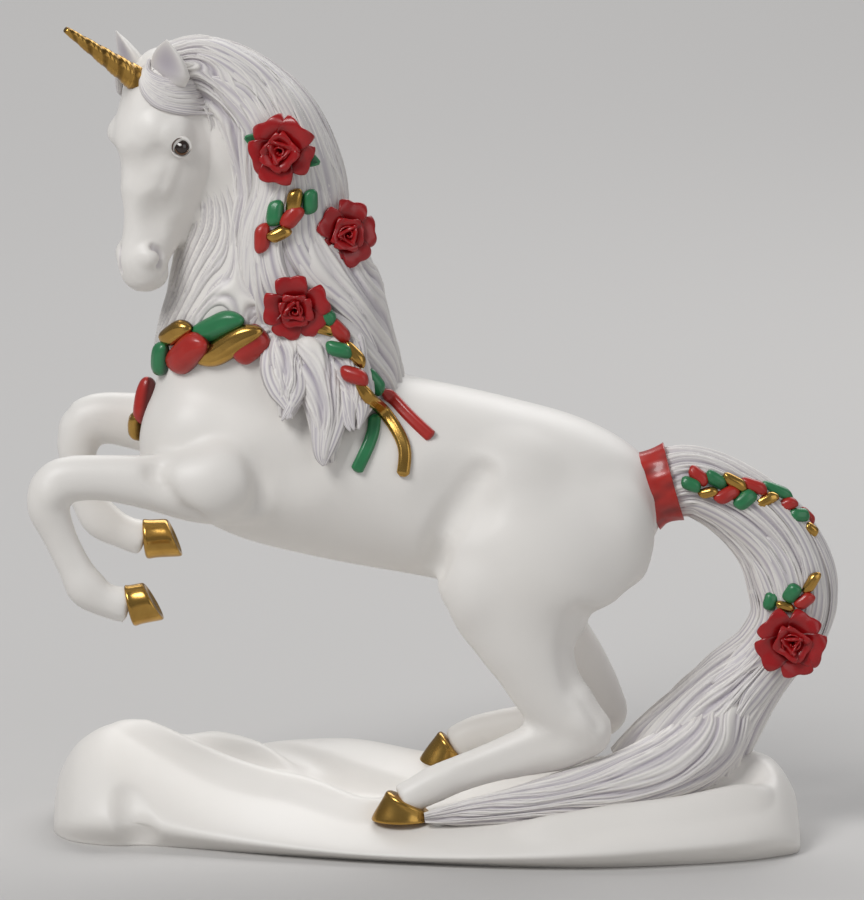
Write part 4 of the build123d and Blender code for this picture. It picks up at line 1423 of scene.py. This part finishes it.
@dataclass
class Collar(Plait):
    """The broad plait round the base of the neck."""

    axis: tuple[float, float] = (-46.0, 0.0)
    off: float = 14.0

    def sight(self, point: Row) -> tuple[Array, Array]:
        """Finds the line of sight to a lobe, level and towards the neck's axis.

        Args:
            point: Place of the lobe.

        Returns:
            Start of the line, and its direction.
        """
        way = unit(np.array([self.axis[0] - point[0], self.axis[1] - point[1], 0.0]))
        return np.array(point) - way * self.off, way


@dataclass
class Rose:
    """A hand-built flower: spiral bud, two rings of curled petals and its leaves."""

    name: str
    start: Point
    way: Point
    radius: float
    spin_deg: float
    leaf_long: float = 5.0
    drawn_radius: float = 9.4
    leaf_turns_deg: tuple[float, float] = (-15, 160)
    # Rings of petals: reach, half width, lift in degrees, curl, place round the flower, rise off the skin
    petals: dict[str, Rows] = table({
        "outer_petals": [(10.2, 4.7, 17, 1.0, 72 * i, 1.3) for i in range(5)],
        "inner_petals": [(6.8, 3.8, 42, 0.9, 90 * i + 36, 1.6) for i in range(4)]
        + [(5.0, 3.0, 64, 0.5, 120 * i + 10, 2.0) for i in range(3)]})

    def petal(self, long: float, wide: float, lift_deg: float, curl: float, turn_deg: float,
              rng: np.random.Generator) -> tuple[Array, Array]:
        """Grid of one petal on the XY plane, with its base at the middle of the flower.

        Args:
            long: Reach from the middle.
            wide: Half width at its fullest.
            lift_deg: How steeply it stands.
            curl: How far its tip rolls back.
            turn_deg: Its place round the flower.
            rng: Source of the small differences between petals.

        Returns:
            Points of the grid, and how deep in the flower each is.
        """
        rows, columns = 14, 13
        s = np.linspace(0, 1, rows)[:, None]
        c = np.linspace(-1, 1, columns)[None]
        width = wide * (0.3 + 0.7 * np.sin(math.pi * np.clip(s * 0.58 + 0.06, 0, 1)))
        notch = 0.05 * np.exp(-(c / 0.25) ** 2) * s ** 6
        reach = long * (s - notch - 0.09 * np.abs(c) ** 5 * s ** 2)
        angle = math.radians(lift_deg)
        cup = 0.3 * wide * c ** 2 * s * (1 - s) * 3
        roll = curl * (np.clip(s - 0.55, 0, 1) ** 2 * 5 + 1.2 * np.abs(c) ** 3 * s ** 4)
        height = reach * math.sin(angle) + cup - roll
        ripple = 0.12 * wide * np.sin(2.6 * c + rng.uniform(0, 6)) * s ** 2
        x = reach * math.cos(angle) + np.zeros_like(c)
        grid = np.stack([x, c * width, height + ripple + np.zeros_like(c)], -1)
        # Painted shade: petals darken towards the heart of the flower
        return spun(grid, turn_deg), np.clip(1 - 1.5 * s + 0.2 * c ** 2, 0, 1)

    def build(self, ground: Ground, rng: np.random.Generator) -> None:
        """Builds the flower on the skin of what carries it.

        Args:
            ground: What the flower sits on.
            rng: Source of the small differences between petals.
        """
        way = unit(np.array(self.way))
        place, normal = ground.hit(np.array(self.start), way)
        up = unit(0.5 * normal - way - 0.7 * SIDE)
        across = unit(np.cross(up, UP))
        axes = np.array([across, np.cross(up, across), up])
        size = self.radius / self.drawn_radius
        for part, petals in self.petals.items():
            clay = Clay()
            for long, wide, lift, curl, turn, rise in petals:
                grid, depth = self.petal(long * rng.uniform(0.88, 1.06), wide * rng.uniform(0.9, 1.08),
                                         lift + rng.uniform(-8, 8), curl * rng.uniform(0.6, 1.4),
                                         turn + self.spin_deg + rng.uniform(-9, 9), rng)
                clay.patch(place + (grid + UP * rise) * size @ axes, depth)
            self.finish(clay, part, ROSE_RED, "rose_red", 0.95 * size)
        self.build_bud(place, axes, size)
        self.build_leaves(place, axes, size)

    def finish(self, clay: Clay, part: str, finish: Finish, slot: str, thick_mm: float) -> None:
        """Dresses a part of the flower and gives its sheets their thickness."""
        node = f"rose_{self.name}_{part}"
        round_off(clay.piece(node, finish, slot, node), thick_mm)

    def build_bud(self, place: Array, axes: Array, size: float) -> None:
        """Builds the bud as a sheet rolled up in a spiral.

        Args:
            place: Where the flower sits.
            axes: Directions of the flower, as rows.
            size: Scale of the flower.
        """
        count = 60
        turn = np.linspace(0, TURN * 2.1, count)
        radius = np.linspace(0.45, 2.7, count)
        share = np.linspace(0, 1, 8)[:, None]
        height = 1.0 + share * (4.9 - 0.35 * radius[None] + 0.25 * np.sin(3 * turn)[None])
        flare = radius[None] * (0.85 + 0.22 * share)
        grid = np.stack([flare * np.cos(turn), flare * np.sin(turn), height], -1)
        clay = Clay()
        # Painted shade: the bud darkens towards its base
        clay.patch(place + grid * size @ axes, np.repeat(1 - share, count, 1) * 0.9)
        self.finish(clay, "bud", ROSE_RED, "rose_red", 0.6 * size)

    def build_leaves(self, place: Array, axes: Array, size: float) -> None:
        """Builds the pointed leaves behind the petals.

        Args:
            place: Where the flower sits.
            axes: Directions of the flower, as rows.
            size: Scale of the flower.
        """
        clay = Clay()
        s = np.linspace(0, 1, 14)[:, None]
        c = np.linspace(-1, 1, 9)[None]
        width = 2.3 * np.sin(math.pi * np.clip(s * 0.94 + 0.05, 0, 1)) ** 0.8
        rib = 0.35 * np.abs(c) - 0.1
        grid = np.stack([3.5 + self.leaf_long * s + 0 * c, c * width, 0.9 + rib + 0.3 * s * (1 - s)], -1)
        for turn_deg in self.leaf_turns_deg:
            # Painted shade: the creased middle of each leaf is darkened
            clay.patch(place + spun(grid, turn_deg) * size @ axes, np.clip(0.7 - np.abs(c) + 0 * s, 0, 1))
        self.finish(clay, "leaves", RIBBON_GREEN, "leaf_green", 0.8 * size)


@dataclass
class Studio:
    """Pale floor, soft lamps and the camera at the photograph's angle."""

    target: Point = (0.0, 0.0, 0.1055)
    distance: float = 2.4
    elevation_deg: float = 11.0
    lens: float = 355.6
    # Lamps: name, place, size, power and what they point at, in metres and watts
    lamps: list[tuple[str, Point, float, float, Point]] = table([
        ("key", (-0.8, -0.8, 1.2), 0.6, 14, target), ("fill", (0.9, -0.9, 0.5), 0.9, 2.5, target),
        ("rim", (0.5, 0.7, 0.8), 0.6, 3, target), ("sweep", (0, 1.9, 1.7), 1.6, 22, (0, 1.7, 0))])

    def build(self) -> None:
        """Builds floor, light and camera."""
        scene = bpy.context.scene
        scene.view_settings.view_transform = "Standard"
        clay = bmesh.new()
        bmesh.ops.create_grid(clay, x_segments=1, y_segments=1, size=6.0)
        mesh = bpy.data.meshes.new("floor")
        clay.to_mesh(mesh)
        clay.free()
        floor = bpy.data.objects.new("floor", mesh)
        scene.collection.objects.link(floor)
        paper = bpy.data.materials.new("grey_paper_sweep")
        paper.use_nodes = True
        shader = paper.node_tree.nodes["Principled BSDF"]
        shader.inputs["Base Color"].default_value = linear("#C4C2C0")
        shader.inputs["Roughness"].default_value = 0.8
        mesh.materials.append(paper)
        world = bpy.data.worlds.new("studio")
        world.use_nodes = True
        world.node_tree.nodes["Background"].inputs["Color"].default_value = linear("#E8EAEE")
        world.node_tree.nodes["Background"].inputs["Strength"].default_value = 0.28
        scene.world = world
        for lamp in self.lamps:
            self.lamp(*lamp)
        self.camera()

    def lamp(self, name: str, place: Point, size: float, power: float, aim: Point) -> None:
        """Hangs a soft square lamp.

        Args:
            name: Name of the lamp.
            place: Where it hangs, in metres.
            size: Side of the square, in metres.
            power: Power in watts.
            aim: What it points at.
        """
        data = bpy.data.lights.new(name, "AREA")
        data.size, data.energy = size, power
        lamp = bpy.data.objects.new(name, data)
        lamp.location = place
        lamp.rotation_euler = (Vector(aim) - Vector(place)).to_track_quat("-Z", "Y").to_euler()
        bpy.context.scene.collection.objects.link(lamp)

    def camera(self) -> None:
        """Sets up the camera."""
        data = bpy.data.cameras.new("camera")
        data.lens = self.lens
        camera = bpy.data.objects.new("camera", data)
        rise = math.radians(self.elevation_deg)
        back = Vector((0, -math.cos(rise), math.sin(rise)))
        camera.location = Vector(self.target) + back * self.distance
        camera.rotation_euler = (-back).to_track_quat("-Z", "Y").to_euler()
        bpy.context.scene.collection.objects.link(camera)
        bpy.context.scene.camera = camera


RED, GREEN, GOLD = Colour.RED, Colour.GREEN, Colour.GOLD
# Lobes of the plaits: ribbon, where it is looked for, tilt in degrees and half sizes
PLAITS = [
    Collar("collar", [
        (RED, (-49.7, -23, 137.8), 14, Lobe(5.8, 4.7, 3.2)),
        (GOLD, (-57.2, -23, 137.3), 27, Lobe(10.8, 3.5, 3.4)),
        (GREEN, (-60.8, -20, 142.1), 18, Lobe(8.6, 3.3, 2.9)),
        (RED, (-69.7, -16, 134.5), 26, Lobe(8.4, 4.4, 3.3)),
        (GOLD, (-72.4, -12, 139.7), 16, Lobe(6.4, 2.8, 2.6)),
        (GREEN, (-78, -8, 131.8), 60, Lobe(5.2, 3.2, 2.7)),
        (RED, (-80.5, 2, 118.3), 80, Lobe(7.2, 3.6, 3.0)),
        (GOLD, (-84, 4, 111.4), 50, Lobe(4.6, 3.0, 3.0)),
        (GREEN, (-74, 14, 122), 40, Lobe(5.2, 3.0, 2.4))]),
    Plait("mane_twist", [
        (GOLD, (-36.7, 176.4), 65, Lobe(3.8, 2.2, 1.9)), (GREEN, (-32.4, 176.1), 72, Lobe(3.6, 2.2, 1.9)),
        (GREEN, (-41.6, 173.1), 65, Lobe(3.8, 2.4, 2.0)), (RED, (-37.3, 172.3), 32, Lobe(3.8, 2.4, 2.0)),
        (GOLD, (-40.8, 167.8), 12, Lobe(3.6, 1.9, 1.8)), (RED, (-45.4, 166.5), 74, Lobe(4.3, 2.2, 1.9))]),
    Plait("mane_plait", [
        (GREEN, (-28.4, 146.2), -60, Lobe(3.4, 2.1, 1.8)), (GOLD, (-29.7, 142.7), -28, Lobe(4.1, 1.9, 1.8)),
        (RED, (-24.6, 141.8), -62, Lobe(4.0, 2.2, 1.9)), (GREEN, (-24.8, 137.1), -28, Lobe(3.9, 2.1, 1.9)),
        (GOLD, (-20.5, 135.5), -58, Lobe(4.3, 1.9, 1.8)), (RED, (-20.5, 130.5), -30, Lobe(4.3, 2.3, 2.1)),
        (GREEN, (-15.4, 127.8), -70, Lobe(4.1, 2.3, 2.1))], {
            RED: [(-13.4, 125), (-6.3, 118.4), (0, 113)],
            GOLD: [(-20.4, 129.6), (-14.5, 121.5), (-10, 116), (-7.1, 110.1), (-7.9, 103.1)],
            GREEN: [(-15.3, 119), (-16.1, 113.5), (-20.3, 104.4)]}),
    Plait("tail_plait", [
        (GREEN, (69.7, 97.8), -40, Lobe(3.0, 1.9, 1.7)), (RED, (71.7, 99.9), -55, Lobe(3.4, 1.9, 1.7)),
        (GOLD, (74.4, 95.9), 5, Lobe(2.9, 1.5, 1.5)), (GREEN, (76.6, 99), -50, Lobe(3.5, 2.1, 1.8)),
        (RED, (79.2, 94.8), 15, Lobe(3.7, 2.0, 1.8)), (GOLD, (81.7, 98.2), -40, Lobe(4.0, 1.8, 1.7)),
        (GREEN, (84.2, 93.5), 20, Lobe(3.5, 2.3, 1.9)), (RED, (86.8, 97), -30, Lobe(4.0, 1.9, 1.8)),
        (GOLD, (90.1, 93.2), 15, Lobe(3.6, 1.7, 1.7)), (GREEN, (93.2, 95), -30, Lobe(4.8, 1.7, 1.7)),
        (RED, (95.6, 91.6), 5, Lobe(3.3, 1.8, 1.7)), (GREEN, (99, 88.6), -20, Lobe(2.9, 2.0, 1.7)),
        (RED, (101.3, 87.6), -60, Lobe(2.9, 1.5, 1.5)), (GOLD, (102.4, 84.6), -60, Lobe(2.2, 1.5, 1.4))]),
    Plait("tail_twist", [
        (GOLD, (102.3, 71.1), 48, Lobe(3.6, 1.6, 1.6)), (GREEN, (97.2, 68.3), 32, Lobe(3.0, 2.2, 1.7)),
        (RED, (100.4, 66.2), 20, Lobe(3.1, 1.9, 1.7)), (GREEN, (91.3, 65.6), 50, Lobe(2.6, 2.1, 1.7)),
        (GOLD, (95.3, 64.6), -25, Lobe(2.8, 1.4, 1.5))]),
]
# Roses: name, where it is looked for from and which way, radius, turn in degrees, length of a leaf
ROSES = [
    Rose("mane_top", (-39.6, -60, 190.6), (0, 1, 0), 9.4, 10, 7.2),
    Rose("mane_back", (8, -72, 166.5), (-0.45, 0.89, 0), 8.5, 40),
    Rose("mane_low", (-36.4, -60, 148.3), (0, 1, 0), 8.6, 65),
    Rose("tail", (97.3, -60, 55.1), (0, 1, 0), 9.2, 25),
]


def main() -> None:
    """Builds the figurine piece by piece and sets it in the studio."""
    logging.basicConfig(level=logging.INFO, format="%(name)s %(message)s")
    rng = np.random.default_rng(SEED)
    Drift().build()
    Body().build()
    face = Face()
    face.build_eyes()
    face.build_ears()
    Gilt().build()
    Mane().build(rng)
    Tail().build(rng)
    ground = Ground([bpy.data.objects[name] for name in (
        "body_casting", "mane_hair", "neck_hair", "mane_shoulder_locks", "tail_hair")])
    for rose in ROSES:
        rose.build(ground, rng)
    for plait in PLAITS:
        plait.build(ground)
    Studio().build()
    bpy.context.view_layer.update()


if __name__ == "__main__":
    main()
